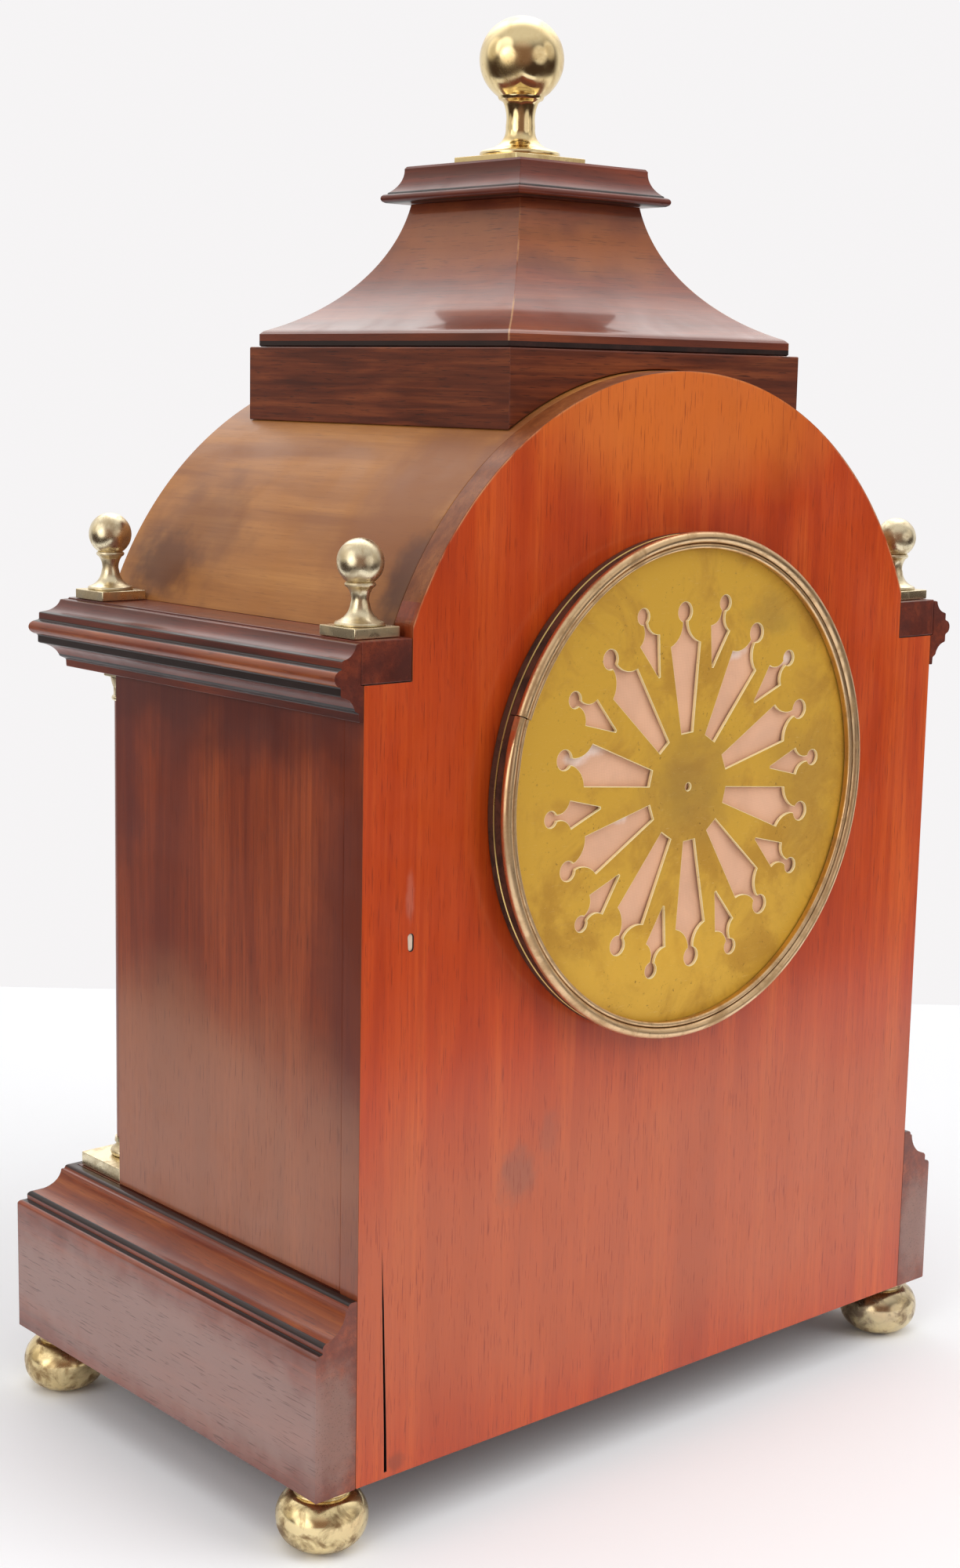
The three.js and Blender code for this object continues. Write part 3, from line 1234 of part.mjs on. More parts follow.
// ---------------------------------------------------------------- dial and hands
function dialAndHands() {
  const dialRadius = FRONT_FLANGE_RADIUS - FLANGE_WIDTH - FITTED_GAP;
  const dialBack = DIAL_SETBACK + DIAL_THICKNESS;
  const face = panel(circle(CENTRE, dialRadius, RING_SEGMENTS), DIAL_SETBACK, dialBack, [
    circle(CENTRE, DIAL_CENTRE_HOLE, 12),
    circle(GOING, WINDING_HOLE_RADIUS, 12),
    circle(STRIKE, WINDING_HOLE_RADIUS, 12),
  ]);
  const dialFeet = [30, 150, 270].map((angle) =>
    rod(polar(DIAL_FOOT_ORBIT, angle), DIAL_FOOT_RADIUS, dialBack - 0.5, FRONT_PLATE_DEPTH - GLUE_LINE, 8),
  );
  add('dial', join(face, ...dialFeet), SILVERED_DIAL, works);

  const hourAngle = Math.PI / 2 - radians((SHOWN_HOURS + SHOWN_MINUTES / 60) * 30);
  const minuteAngle = Math.PI / 2 - radians(SHOWN_MINUTES * 6);
  const pipeBore = boreFor(CENTRE_ARBOR_RADIUS, 12);

  const hourBack = HOUR_HAND_DEPTH + HAND_THICKNESS;
  const hourPipe = turnedAlongY(
    [
      [pipeBore, HOUR_HAND_DEPTH],
      [4.2, HOUR_HAND_DEPTH],
      [4.2, hourBack + 0.6],
      [3.4, hourBack + 0.6],
      [3.4, FRONT_PLATE_DEPTH - 0.8],
      [pipeBore, FRONT_PLATE_DEPTH - 0.8],
      [pipeBore, HOUR_HAND_DEPTH],
    ],
    16,
  );
  const hourBlade = handBlade(HOUR_HAND_LENGTH, 6.2, 1.5, 2.8, hourAngle);
  const hour = join(panel(hourBlade, HOUR_HAND_DEPTH, hourBack), hourPipe);
  add('hour_hand', hour, BLUED_STEEL, works);

  const minuteBack = MINUTE_HAND_DEPTH + HAND_THICKNESS;
  const minuteHub = turnedAlongY(
    [
      [pipeBore, MINUTE_HAND_DEPTH - 0.3],
      [3.4, MINUTE_HAND_DEPTH - 0.3],
      [3.4, minuteBack + 0.3],
      [pipeBore, minuteBack + 0.3],
      [pipeBore, MINUTE_HAND_DEPTH - 0.3],
    ],
    16,
  );
  const minuteBlade = handBlade(MINUTE_HAND_LENGTH, 4.4, 1.2, 2.6, minuteAngle);
  const minute = join(panel(minuteBlade, MINUTE_HAND_DEPTH, minuteBack), minuteHub);
  add('minute_hand', minute, BLUED_STEEL, works);
}

/** Spade hand along an angle: a stalk from the hub, a swelling leaf and a point. */
function handBlade(length, leafHalf, stalkHalf, hubRadius, angle) {
  const leafStart = length * 0.6;
  const leafEnd = length * 0.84;
  const right = [
    [hubRadius, -stalkHalf],
    [leafStart, -stalkHalf * 0.7],
    ...arcThrough([leafStart + 1, -stalkHalf], [leafStart + 3.4, -leafHalf], [leafEnd, -stalkHalf], 4),
    [length, -0.35],
  ];
  const outline = [...right, ...right.map(([r, w]) => [r, -w]).reverse()];
  return outline.map(([r, w]) => [
    r * Math.cos(angle) - w * Math.sin(angle),
    r * Math.sin(angle) + w * Math.cos(angle),
  ]);
}

plinth();
bodyPanels();
shouldersAndCornice();
caddy();
finials();
feet();
columns();
rearDoor();
frontDoor();
plates();
barrels();
train();
escapement();
bellAndHammer();
dialAndHands();

export default clock;
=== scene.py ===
"""Bracket clock: the looks of every piece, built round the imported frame.

Sizes are in millimetres and in the frame's own axes: +Z up, the dial towards -Y, the pierced rear
door towards +Y, +X on the right when the dial is read. Meshes are written in metres.
"""

from __future__ import annotations

import json
import logging
import math
from collections.abc import Callable, Sequence
from dataclasses import dataclass, field
from enum import Enum
from typing import NamedTuple

import bmesh
import bpy
from mathutils import Matrix, Vector
from mathutils.geometry import tessellate_polygon

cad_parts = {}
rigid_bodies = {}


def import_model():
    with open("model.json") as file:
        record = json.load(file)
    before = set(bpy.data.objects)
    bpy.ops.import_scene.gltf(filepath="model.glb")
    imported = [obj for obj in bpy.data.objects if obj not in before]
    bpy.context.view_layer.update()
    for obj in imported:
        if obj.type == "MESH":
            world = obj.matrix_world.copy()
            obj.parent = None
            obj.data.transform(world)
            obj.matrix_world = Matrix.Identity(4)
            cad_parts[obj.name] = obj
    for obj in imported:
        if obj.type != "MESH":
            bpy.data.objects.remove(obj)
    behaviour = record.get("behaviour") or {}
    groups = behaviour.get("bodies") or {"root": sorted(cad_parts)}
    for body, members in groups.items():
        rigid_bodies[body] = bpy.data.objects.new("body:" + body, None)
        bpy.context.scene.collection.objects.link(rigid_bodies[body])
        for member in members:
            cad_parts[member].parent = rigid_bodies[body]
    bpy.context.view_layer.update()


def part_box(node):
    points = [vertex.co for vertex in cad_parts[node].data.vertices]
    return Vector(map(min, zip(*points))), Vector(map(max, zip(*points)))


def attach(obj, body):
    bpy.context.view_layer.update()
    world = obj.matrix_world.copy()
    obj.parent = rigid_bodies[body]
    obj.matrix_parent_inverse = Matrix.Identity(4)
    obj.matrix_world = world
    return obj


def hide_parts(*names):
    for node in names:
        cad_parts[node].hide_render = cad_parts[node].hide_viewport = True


LOG = logging.getLogger("bracket_clock")
MM = 0.001
SIDES = (("left", -1), ("right", 1))
GLUE = 0.1  # gap between two pieces that touch

Material = bpy.types.Material
Object = bpy.types.Object
Socket = bpy.types.NodeSocket
Value = float | Socket
Point = tuple[float, float]
Place = tuple[float, float, float]
Colour = tuple[float, float, float]
Loop = list[Point]
Streak = tuple[float, float, float, int]  # low height, high height, least reach, finish number


class Body(Enum):
    """Rigid bodies of the frame that new pieces ride on."""

    CASE = "case"
    REAR_DOOR = "rear_door"
    FRONT_DOOR = "front_door"


class Slot(Enum):
    """Material slots of the record."""

    BACK_MAHOGANY = "back_mahogany"
    DARK_MAHOGANY = "dark_mahogany"
    VAULT_MAHOGANY = "vault_mahogany"
    POLISHED_BRASS = "polished_brass"
    AGED_BRASS = "aged_brass"
    SILVERED_BRASS = "silvered_brass"
    CLEAR_GLASS = "clear_glass"
    PINK_SILK = "pink_silk"


class Grain(Enum):
    """The way that the grain of a board runs."""

    ALONG_X = 0
    ALONG_Y = 1
    UPRIGHT = 2


@dataclass(frozen=True)
class Datum:
    """Planes that sizes are counted from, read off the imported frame, and sizes in common."""

    back: float
    front: float
    base: float
    body_half: float = 120.0
    arch_rise: float = 200.2
    arch_radius: float = 111.9
    vault_thickness: float = 5.0
    door_rise: float = 189.5

    @classmethod
    def from_frame(cls) -> Datum:
        """Reads the planes from the back and front panels.

        Returns:
            The datum planes in millimetres.
        """
        back_low, back_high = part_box("back_panel")
        front_low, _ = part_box("front_panel")
        return cls(back=back_high.y / MM, front=front_low.y / MM, base=back_low.z / MM)

    @property
    def arch_centre(self) -> float:
        """Height of the middle of the arch."""
        return self.base + self.arch_rise

    @property
    def door_centre(self) -> float:
        """Height of the middle of the dial and of both doors."""
        return self.base + self.door_rise


# --- Outlines ---


def arc(centre: Point, radius: float, start: float, end: float, steps: int) -> Loop:
    """Points of an arc.

    Args:
        centre: Middle of the circle.
        radius: Radius of the circle.
        start: First angle in degrees.
        end: Last angle in degrees.
        steps: Number of chords.

    Returns:
        The points, both ends included.
    """
    angles = [math.radians(start + (end - start) * i / steps) for i in range(steps + 1)]
    return [(centre[0] + radius * math.cos(a), centre[1] + radius * math.sin(a)) for a in angles]


def ring_of(centre: Point, radius: float, count: int) -> Loop:
    """Points of a full circle, counted anticlockwise."""
    return arc(centre, radius, 0, 360, count)[:-1]


def arc_through(a: Point, b: Point, c: Point, steps: int) -> Loop:
    """Points of the arc from a to c that passes through b.

    Args:
        a: First point.
        b: A point on the arc.
        c: Last point.
        steps: Number of chords.

    Returns:
        The points, both ends included.
    """
    area = a[0] * (b[1] - c[1]) + b[0] * (c[1] - a[1]) + c[0] * (a[1] - b[1])
    squares = [p[0] ** 2 + p[1] ** 2 for p in (a, b, c)]
    sum_x = squares[0] * (b[1] - c[1]) + squares[1] * (c[1] - a[1]) + squares[2] * (a[1] - b[1])
    sum_y = squares[0] * (c[0] - b[0]) + squares[1] * (a[0] - c[0]) + squares[2] * (b[0] - a[0])
    centre = (sum_x / (2 * area), sum_y / (2 * area))
    radius = math.hypot(a[0] - centre[0], a[1] - centre[1])
    start = math.degrees(math.atan2(a[1] - centre[1], a[0] - centre[0]))
    end = math.degrees(math.atan2(c[1] - centre[1], c[0] - centre[0]))
    if area > 0 and end < start:
        end += 360
    if area < 0 and end > start:
        end -= 360
    return arc(centre, radius, start, end, steps)


def rectangle(low: Point, high: Point) -> Loop:
    """Corners of a rectangle, counted anticlockwise."""
    return [low, (high[0], low[1]), high, (low[0], high[1])]


def mirrored(points: Loop) -> Loop:
    """The same outline on the other side of the middle plane."""
    return [(-x, y) for x, y in reversed(points)]


def eased(points: Loop, radius: float, steps: int = 3, sharpest: float = 25.0) -> Loop:
    """Rounds the corners of a closed outline, as sandpaper does.

    Args:
        points: The outline.
        radius: Distance from the corner at which the rounding starts.
        steps: Chords in each rounded corner.
        sharpest: Corners that turn by fewer degrees than this stay as they are.

    Returns:
        The rounded outline.
    """
    rounded: Loop = []
    count = len(points)
    for i, corner in enumerate(points):
        before = Vector(points[i - 1]) - Vector(corner)
        after = Vector(points[(i + 1) % count]) - Vector(corner)
        reach = min(radius, before.length * 0.45, after.length * 0.45)
        turn = 180 - math.degrees(before.angle(after, 0.0))
        if turn < sharpest or reach < 0.01:
            rounded.append(corner)
            continue
        start = Vector(corner) + before.normalized() * reach
        end = Vector(corner) + after.normalized() * reach
        for k in range(steps + 1):
            t = k / steps
            spot = start * (1 - t) ** 2 + Vector(corner) * 2 * t * (1 - t) + end * t**2
            rounded.append((spot.x, spot.y))
    return rounded


def signed_area(points: Loop) -> float:
    """Area of an outline, positive when it runs anticlockwise."""
    following = points[1:] + points[:1]
    return 0.5 * sum(a[0] * b[1] - b[0] * a[1] for a, b in zip(points, following))


def turned_round(points: Loop, anticlockwise: bool) -> Loop:
    """The outline run in the asked direction."""
    return points if (signed_area(points) > 0) == anticlockwise else list(reversed(points))


def moved_in(points: Loop, distance: float) -> Loop:
    """Shifts an outline towards its left, which is into the material.

    Args:
        points: Outline that runs anticlockwise round material, or clockwise round a hole.
        distance: How far each edge moves.

    Returns:
        The shifted outline.
    """
    shifted: Loop = []
    count = len(points)
    for i, point in enumerate(points):
        edge_in = Vector(point) - Vector(points[i - 1])
        edge_out = Vector(points[(i + 1) % count]) - Vector(point)
        left_in = Vector((-edge_in.y, edge_in.x)).normalized()
        left_out = Vector((-edge_out.y, edge_out.x)).normalized()
        spread = max(0.3, 1 + left_in.dot(left_out))
        step = (left_in + left_out) * (distance / spread)
        shifted.append((point[0] + step.x, point[1] + step.y))
    return shifted


# --- Meshes ---


@dataclass
class Piece:
    """A mesh in the making: corners in millimetres, faces, and the finish of each face."""

    name: str
    corners: list[Place] = field(default_factory=list)
    faces: list[Sequence[int]] = field(default_factory=list)
    finishes: list[int] = field(default_factory=list)
    sharp_angle: float = 35.0

    def face(self, corners: Sequence[int], finish: int = 0) -> None:
        """Adds one face."""
        self.faces.append(tuple(corners))
        self.finishes.append(finish)

    def bridge(self, first: int, second: int, count: int, closed: bool, finish: int = 0) -> None:
        """Joins two rows of corners with four-sided faces.

        Args:
            first: Index of the first row's first corner.
            second: Index of the second row's first corner.
            count: Corners in each row.
            closed: Whether the last corner joins the first one.
            finish: Finish of the new faces.
        """
        for i in range(count if closed else count - 1):
            j = (i + 1) % count
            self.face((first + i, first + j, second + j, second + i), finish)

    def run(self, rows: Sequence[int], profile: Loop, bands: Sequence[int]) -> None:
        """Skins a closed profile that stands at several stations, and closes both ends.

        Args:
            rows: Index of each station's first corner.
            profile: The profile, which gives the ends their shape.
            bands: Finish number of each stretch of the profile.
        """
        count = len(profile)
        for first, second in zip(rows, rows[1:]):
            for i in range(count):
                j = (i + 1) % count
                self.face((first + i, first + j, second + j, second + i), bands[i])
        ends = tessellate_polygon([[Vector((out, height, 0)) for out, height in profile]])
        for row in (rows[0], rows[-1]):
            for triangle in ends:
                self.face([row + i for i in triangle])

    def join(self, other: Piece) -> None:
        """Takes over the mesh of another piece."""
        start = len(self.corners)
        self.corners += other.corners
        self.faces += [tuple(start + i for i in face) for face in other.faces]
        self.finishes += other.finishes

    def build(self, finishes: Sequence[Material]) -> Object:
        """Writes the mesh, turns its faces out and shades it.

        Args:
            finishes: Materials in the order of the faces' finish numbers.

        Returns:
            The new object, linked to the scene.
        """
        mesh = bpy.data.meshes.new(self.name)
        mesh.from_pydata([[c * MM for c in corner] for corner in self.corners], [], self.faces)
        mesh.polygons.foreach_set("material_index", self.finishes)
        editable = bmesh.new()
        editable.from_mesh(mesh)
        bmesh.ops.remove_doubles(editable, verts=editable.verts, dist=1e-7)
        bmesh.ops.recalc_face_normals(editable, faces=editable.faces)
        editable.to_mesh(mesh)
        editable.free()
        mesh.shade_smooth()
        mesh.set_sharp_from_angle(angle=math.radians(self.sharp_angle))
        for finish in finishes:
            mesh.materials.append(finish)
        shown = bpy.data.objects.new(self.name, mesh)
        bpy.context.scene.collection.objects.link(shown)
        weights = shown.modifiers.new("even_shading", "WEIGHTED_NORMAL")
        weights.keep_sharp = True
        return shown


def turned(
    name: str,
    profile: Loop,
    segments: int,
    centre: Place = (0.0, 0.0, 0.0),
    upright: bool = True,
    bands: Sequence[int] | None = None,
) -> Piece:
    """Turns a profile as on a lathe.

    Args:
        name: Name of the piece.
        profile: Points as radius and height along the axis.
        segments: Facets round the axis.
        centre: Where the profile's origin goes.
        upright: Axis along Z, or else along Y.
        bands: Finish number of each stretch of the profile.

    Returns:
        The turned piece, closed where the profile closes or ends on the axis.
    """
    piece = Piece(name)
    rows: list[tuple[int, int]] = []
    for radius, height in profile:
        count = 1 if radius < 1e-6 else segments
        rows.append((len(piece.corners), count))
        for i in range(count):
            angle = 2 * math.pi * i / segments
            across, along = radius * math.cos(angle), radius * math.sin(angle)
            spot = (across, along, height) if upright else (across, height, along)
            piece.corners.append(tuple(c + s for c, s in zip(centre, spot)))
    for i, ((first, first_count), (second, second_count)) in enumerate(zip(rows, rows[1:])):
        finish = bands[i] if bands else 0
        if first_count == second_count == 1:
            continue
        if first_count == 1 or second_count == 1:
            pole, rim = (first, second) if first_count == 1 else (second, first)
            for k in range(segments):
                piece.face((pole, rim + k, rim + (k + 1) % segments), finish)
        else:
            piece.bridge(first, second, segments, closed=True, finish=finish)
    return piece


def plate(
    name: str,
    outline: Loop,
    near: float,
    far: float,
    holes: Sequence[Loop] = (),
    ease: float = 0.3,
    place: Callable[[float, float, float], Place] | None = None,
    edge_finish: int = 0,
) -> Piece:
    """A flat board or sheet with eased edges and any number of holes.

    Args:
        name: Name of the piece.
        outline: Outer outline.
        near: Depth of one face.
        far: Depth of the other face.
        holes: Outlines of the holes.
        ease: Rounding of the edges between the faces and the sides.
        place: Turns an outline point and a depth into a corner. The default lays the outline
            in X and Z with the depth along Y.
        edge_finish: Finish number of the sides and the holes' walls.

    Returns:
        The board as a closed piece.
    """
    put = place or (lambda across, up, depth: (across, depth, up))
    piece = Piece(name)
    loops = [turned_round(outline, True)] + [turned_round(hole, False) for hole in holes]
    step = ease if far > near else -ease
    layers = [
        (near, ease), (near + step * 0.3, ease * 0.3), (near + step, 0.0), (far - step, 0.0),
        (far - step * 0.3, ease * 0.3), (far, ease),
    ]
    starts: list[list[int]] = []
    for loop in loops:
        row: list[int] = []
        for depth, inset in layers:
            row.append(len(piece.corners))
            piece.corners += [put(x, y, depth) for x, y in moved_in(loop, inset)]
        starts.append(row)
        for first, second in zip(row, row[1:]):
            piece.bridge(first, second, len(loop), closed=True, finish=edge_finish)
    insets = [[Vector((x, y, 0)) for x, y in moved_in(loop, ease)] for loop in loops]
    triangles = tessellate_polygon(insets)
    sizes = [len(loop) for loop in loops]
    for layer in (0, len(layers) - 1):
        index = [row[layer] + i for row, size in zip(starts, sizes) for i in range(size)]
        for triangle in triangles:
            piece.face([index[i] for i in triangle])
    return piece


def plan_board(name: str, outline: Loop, low: float, high: float, ease: float = 0.3) -> Piece:
    """A board whose outline lies in plan, from one height to another."""
    return plate(name, outline, low, high, ease=ease, place=lambda x, y, depth: (x, y, depth))


def finish_of(a: Point, b: Point, streaks: Sequence[Streak]) -> int:
    """Finish number of the stretch of a profile between two points.

    Args:
        a: First point, as distance out or half width, and height.
        b: Second point.
        streaks: Stretches that have a finish of their own.

    Returns:
        The finish number, 0 where no streak lies.
    """
    out, height = (a[0] + b[0]) / 2, (a[1] + b[1]) / 2
    for low, high, reach, finish in streaks:
        if low <= height <= high and out >= reach:
            return finish
    return 0


def moulding(
    name: str,
    profile: Loop,
    stations: Sequence[tuple[Point, Point]],
    streaks: Sequence[Streak] = (),
) -> Piece:
    """A moulding run past stations, with mitred corners.

    Args:
        name: Name of the piece.
        profile: Points as distance out from the body and height.
        stations: For each station a point on the body's face in plan, and the way out there.
        streaks: Stretches of the profile that have a finish of their own.

    Returns:
        The moulding with its two cut ends.
    """
    piece = Piece(name, sharp_angle=30)
    rows: list[int] = []
    for at, out in stations:
        rows.append(len(piece.corners))
        piece.corners += [(at[0] + o * out[0], at[1] + o * out[1], z) for o, z in profile]
    following = profile[1:] + profile[:1]
    piece.run(rows, profile, [finish_of(a, b, streaks) for a, b in zip(profile, following)])
    return piece


def square_stack(
    name: str,
    levels: Loop,
    extra: float,
    centre: Point,
    ease: float,
    streaks: Sequence[Streak] = (),
) -> Piece:
    """A four-sided block whose half width changes with height.

    Args:
        name: Name of the piece.
        levels: Half width and height of each level.
        extra: How much larger the half depth is.
        centre: Middle in plan.
        ease: Rounding of the four upright corners.
        streaks: Stretches that have a finish of their own.

    Returns:
        The closed block.
    """
    piece = Piece(name, sharp_angle=30)
    rows: list[int] = []
    count = 0
    for half, height in levels:
        corners = eased(rectangle((-half, -half - extra), (half, half + extra)), ease)
        count = len(corners)
        rows.append(len(piece.corners))
        piece.corners += [(centre[0] + x, centre[1] + y, height) for x, y in corners]
    for i, (first, second) in enumerate(zip(rows, rows[1:])):
        finish = finish_of(levels[i], levels[i + 1], streaks)
        piece.bridge(first, second, count, closed=True, finish=finish)
    piece.face(list(range(rows[0], rows[0] + count)))
    piece.face(list(range(rows[-1], rows[-1] + count)))
    return piece


def show(
    piece: Piece,
    finishes: Sequence[Material],
    replaces: Sequence[str] = (),
    body: Body = Body.CASE,
) -> Object:
    """Builds a piece and ties it to the frame.

    Args:
        piece: The mesh.
        finishes: Its materials.
        replaces: CAD nodes that it stands for.
        body: The body that it rides on.

    Returns:
        The shown object.
    """
    shown = piece.build(finishes)
    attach(shown, body.value)
    if replaces:
        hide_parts(*replaces)
    LOG.info("%s: %d faces on %s", piece.name, len(piece.faces), body.value)
    return shown


def finish_by_facing(shown: Object) -> None:
    """Gives the first finish of a four-sided piece to its front and back, the second to its sides.

    Args:
        shown: The object. Faces with a later finish keep it.
    """
    for polygon in shown.data.polygons:
        if polygon.material_index <= 1:
            polygon.material_index = int(abs(polygon.normal.x) > abs(polygon.normal.y))


def dress(node: str, material: Material) -> None:
    """Gives a CAD node a finish.

    Args:
        node: Name of the node.
        material: The finish for all of it.
    """
    shown = bpy.data.objects[node]
    for place in shown.material_slots:
        place.material = material
    if not shown.material_slots:
        shown.data.materials.append(material)
    LOG.info("%s: dressed in %s", node, material.name)


# --- Finishes ---


class Nodes:
    """A node tree and short calls that add nodes to it."""

    def __init__(self, tree: bpy.types.NodeTree) -> None:
        """Takes a tree and empties it."""
        self.tree = tree
        tree.nodes.clear()

    def add(self, kind: str, **settings: object) -> bpy.types.Node:
        """Adds a node and sets its properties."""
        node = self.tree.nodes.new(kind)
        for key, value in settings.items():
            setattr(node, key, value)
        return node

    def feed(self, socket: Socket, value: object) -> None:
        """Links a socket, or sets it to a plain value."""
        if isinstance(value, Socket):
            self.tree.links.new(value, socket)
        elif isinstance(value, tuple) and len(value) == 3 and socket.type == "RGBA":
            socket.default_value = (*value, 1.0)
        else:
            socket.default_value = value

    def fed(self, kind: str, inputs: dict[str | int, object], **settings: object) -> bpy.types.Node:
        """Adds a node and feeds the inputs that are given by name or number."""
        node = self.add(kind, **settings)
        for key, value in inputs.items():
            self.feed(node.inputs[key], value)
        return node

    def math(self, operation: str, a: Value, b: Value = 0.0, clamp: bool = False) -> Socket:
        """One arithmetic step."""
        inputs = {0: a, 1: b}
        return self.fed("ShaderNodeMath", inputs, operation=operation, use_clamp=clamp).outputs[0]

    def scaled(self, value: Value, factor: float, added: Value) -> Socket:
        """A value times a factor, with another one added."""
        inputs = {0: value, 1: factor, 2: added}
        return self.fed("ShaderNodeMath", inputs, operation="MULTIPLY_ADD").outputs[0]

    def step(self, value: Value, low: float, high: float, top: float = 1.0) -> Socket:
        """A smooth step from 0 at low to top at high. It falls when low is above high."""
        inputs = {"Value": value, "From Min": low, "From Max": high, "To Min": 0.0, "To Max": top}
        if low > high:
            inputs |= {"From Min": high, "From Max": low, "To Min": top, "To Max": 0.0}
        settings = {"interpolation_type": "SMOOTHSTEP", "clamp": True}
        return self.fed("ShaderNodeMapRange", inputs, **settings).outputs["Result"]

    def mix(self, factor: Value, a: object, b: object, how: str = "MIX") -> Socket:
        """Two colours mixed by a factor."""
        settings = {"data_type": "RGBA", "blend_type": how, "clamp_factor": True}
        return self.fed("ShaderNodeMix", {0: factor, 6: a, 7: b}, **settings).outputs[2]

    def either(self, factor: Value, first: Socket, second: Socket) -> Socket:
        """The first shader where the factor is 0, the second one where it is 1."""
        return self.fed("ShaderNodeMixShader", {0: factor, 1: first, 2: second}).outputs[0]


@dataclass(frozen=True)
class Patch:
    """A soft patch of colour in a finish: some are stains and marks, some are painted light or
    shade.
    """

    centre: Place
    radii: Place
    colour: Colour
    strength: float
    ragged: float = 0.35
    cell: float = 4.0


class Shading(Nodes):
    """A node material, and calls for what finishes have in common."""

    def __init__(self, name: str) -> None:
        """Starts an empty material.

        Args:
            name: Name of the material.
        """
        self.material = bpy.data.materials.new(name)
        self.material.use_nodes = True
        super().__init__(self.material.node_tree)
        self.output = self.add("ShaderNodeOutputMaterial")
        self.place: Socket = self.add("ShaderNodeTexCoord").outputs["Object"]

    def stretched(self, cells_per_mm: Place, shift: Place = (0.0, 0.0, 0.0)) -> Socket:
        """The place on the object, scaled.

        Args:
            cells_per_mm: Texture cells in a millimetre along each axis.
            shift: Added after scaling, so that two boards differ.

        Returns:
            A vector socket.
        """
        scale = tuple(c / MM for c in cells_per_mm)
        inputs = {"Vector": self.place, "Scale": scale, "Location": shift}
        return self.fed("ShaderNodeMapping", inputs, vector_type="POINT").outputs["Vector"]

    def noise(
        self,
        cells_per_mm: Place | float,
        detail: float = 2.0,
        roughness: float = 0.5,
        distortion: float = 0.0,
        shift: Place = (0.0, 0.0, 0.0),
    ) -> Socket:
        """Cloudy noise between 0 and 1."""
        cells = cells_per_mm if isinstance(cells_per_mm, tuple) else (cells_per_mm,) * 3
        inputs = {
            "Vector": self.stretched(cells, shift),
            "Scale": 1.0,
            "Detail": detail,
            "Roughness": roughness,
            "Distortion": distortion,
        }
        return self.fed("ShaderNodeTexNoise", inputs).outputs["Fac"]

    def ramp(self, factor: Value, stops: Sequence[tuple[float, Colour]]) -> Socket:
        """Colours along a scale."""
        node = self.fed("ShaderNodeValToRGB", {"Fac": factor})
        elements = node.color_ramp.elements
        while len(elements) < len(stops):
            elements.new(0.5)
        for element, (position, colour) in zip(elements, stops):
            element.position = position
            element.color = (*colour, 1.0)
        return node.outputs["Color"]

    def axis(self, index: int) -> Socket:
        """One coordinate of the place, in millimetres."""
        node = self.fed("ShaderNodeSeparateXYZ", {0: self.place})
        return self.math("DIVIDE", node.outputs[index], MM)

    def spot(self, centre: Place, radii: Place, ragged: float, cell: float) -> Socket:
        """A soft patch that is 1 in its middle and 0 outside.

        Args:
            centre: Middle of the patch.
            radii: Half sizes of the patch.
            ragged: How far noise pushes its edge, as a share of the radii.
            cell: Size of the noise at its edge.

        Returns:
            The patch's strength.
        """
        inputs = {
            "Vector": self.place,
            "Location": tuple(c * MM for c in centre),
            "Scale": tuple(r * MM for r in radii),
        }
        where = self.fed("ShaderNodeMapping", inputs, vector_type="TEXTURE").outputs["Vector"]
        distance = self.fed("ShaderNodeVectorMath", {0: where}, operation="LENGTH").outputs["Value"]
        edge = self.math("SUBTRACT", self.noise(1 / cell, detail=3), 0.5)
        return self.step(self.scaled(edge, 2 * ragged, distance), 1.0, 0.35)

    def patched(self, colour: Socket, stains: Sequence[Patch]) -> Socket:
        """Lays soft patches over a colour: stains and marks, and painted light and shade."""
        for stain in stains:
            patch = self.spot(stain.centre, stain.radii, stain.ragged, stain.cell)
            colour = self.mix(self.math("MULTIPLY", patch, stain.strength), colour, stain.colour)
        return colour

    def bump(self, height: Value, depth: float, strength: float = 1.0) -> Socket:
        """A bump of the given depth in millimetres."""
        inputs = {"Height": height, "Distance": depth * MM, "Strength": strength}
        return self.fed("ShaderNodeBump", inputs).outputs["Normal"]

    def close(self, **inputs: object) -> Material:
        """Ends the material in one surface shader.

        Args:
            **inputs: Values or sockets for the shader, with underscores for spaces.

        Returns:
            The finished material.
        """
        named = {key.replace("_", " "): value for key, value in inputs.items()}
        shader = self.fed("ShaderNodeBsdfPrincipled", named)
        self.feed(self.output.inputs["Surface"], shader.outputs["BSDF"])
        return self.material


@dataclass(frozen=True)
class Tone:
    """Colours of a piece of mahogany: its figure from dark to light, and its pores."""

    dark: Colour
    middle: Colour
    light: Colour
    pore: Colour


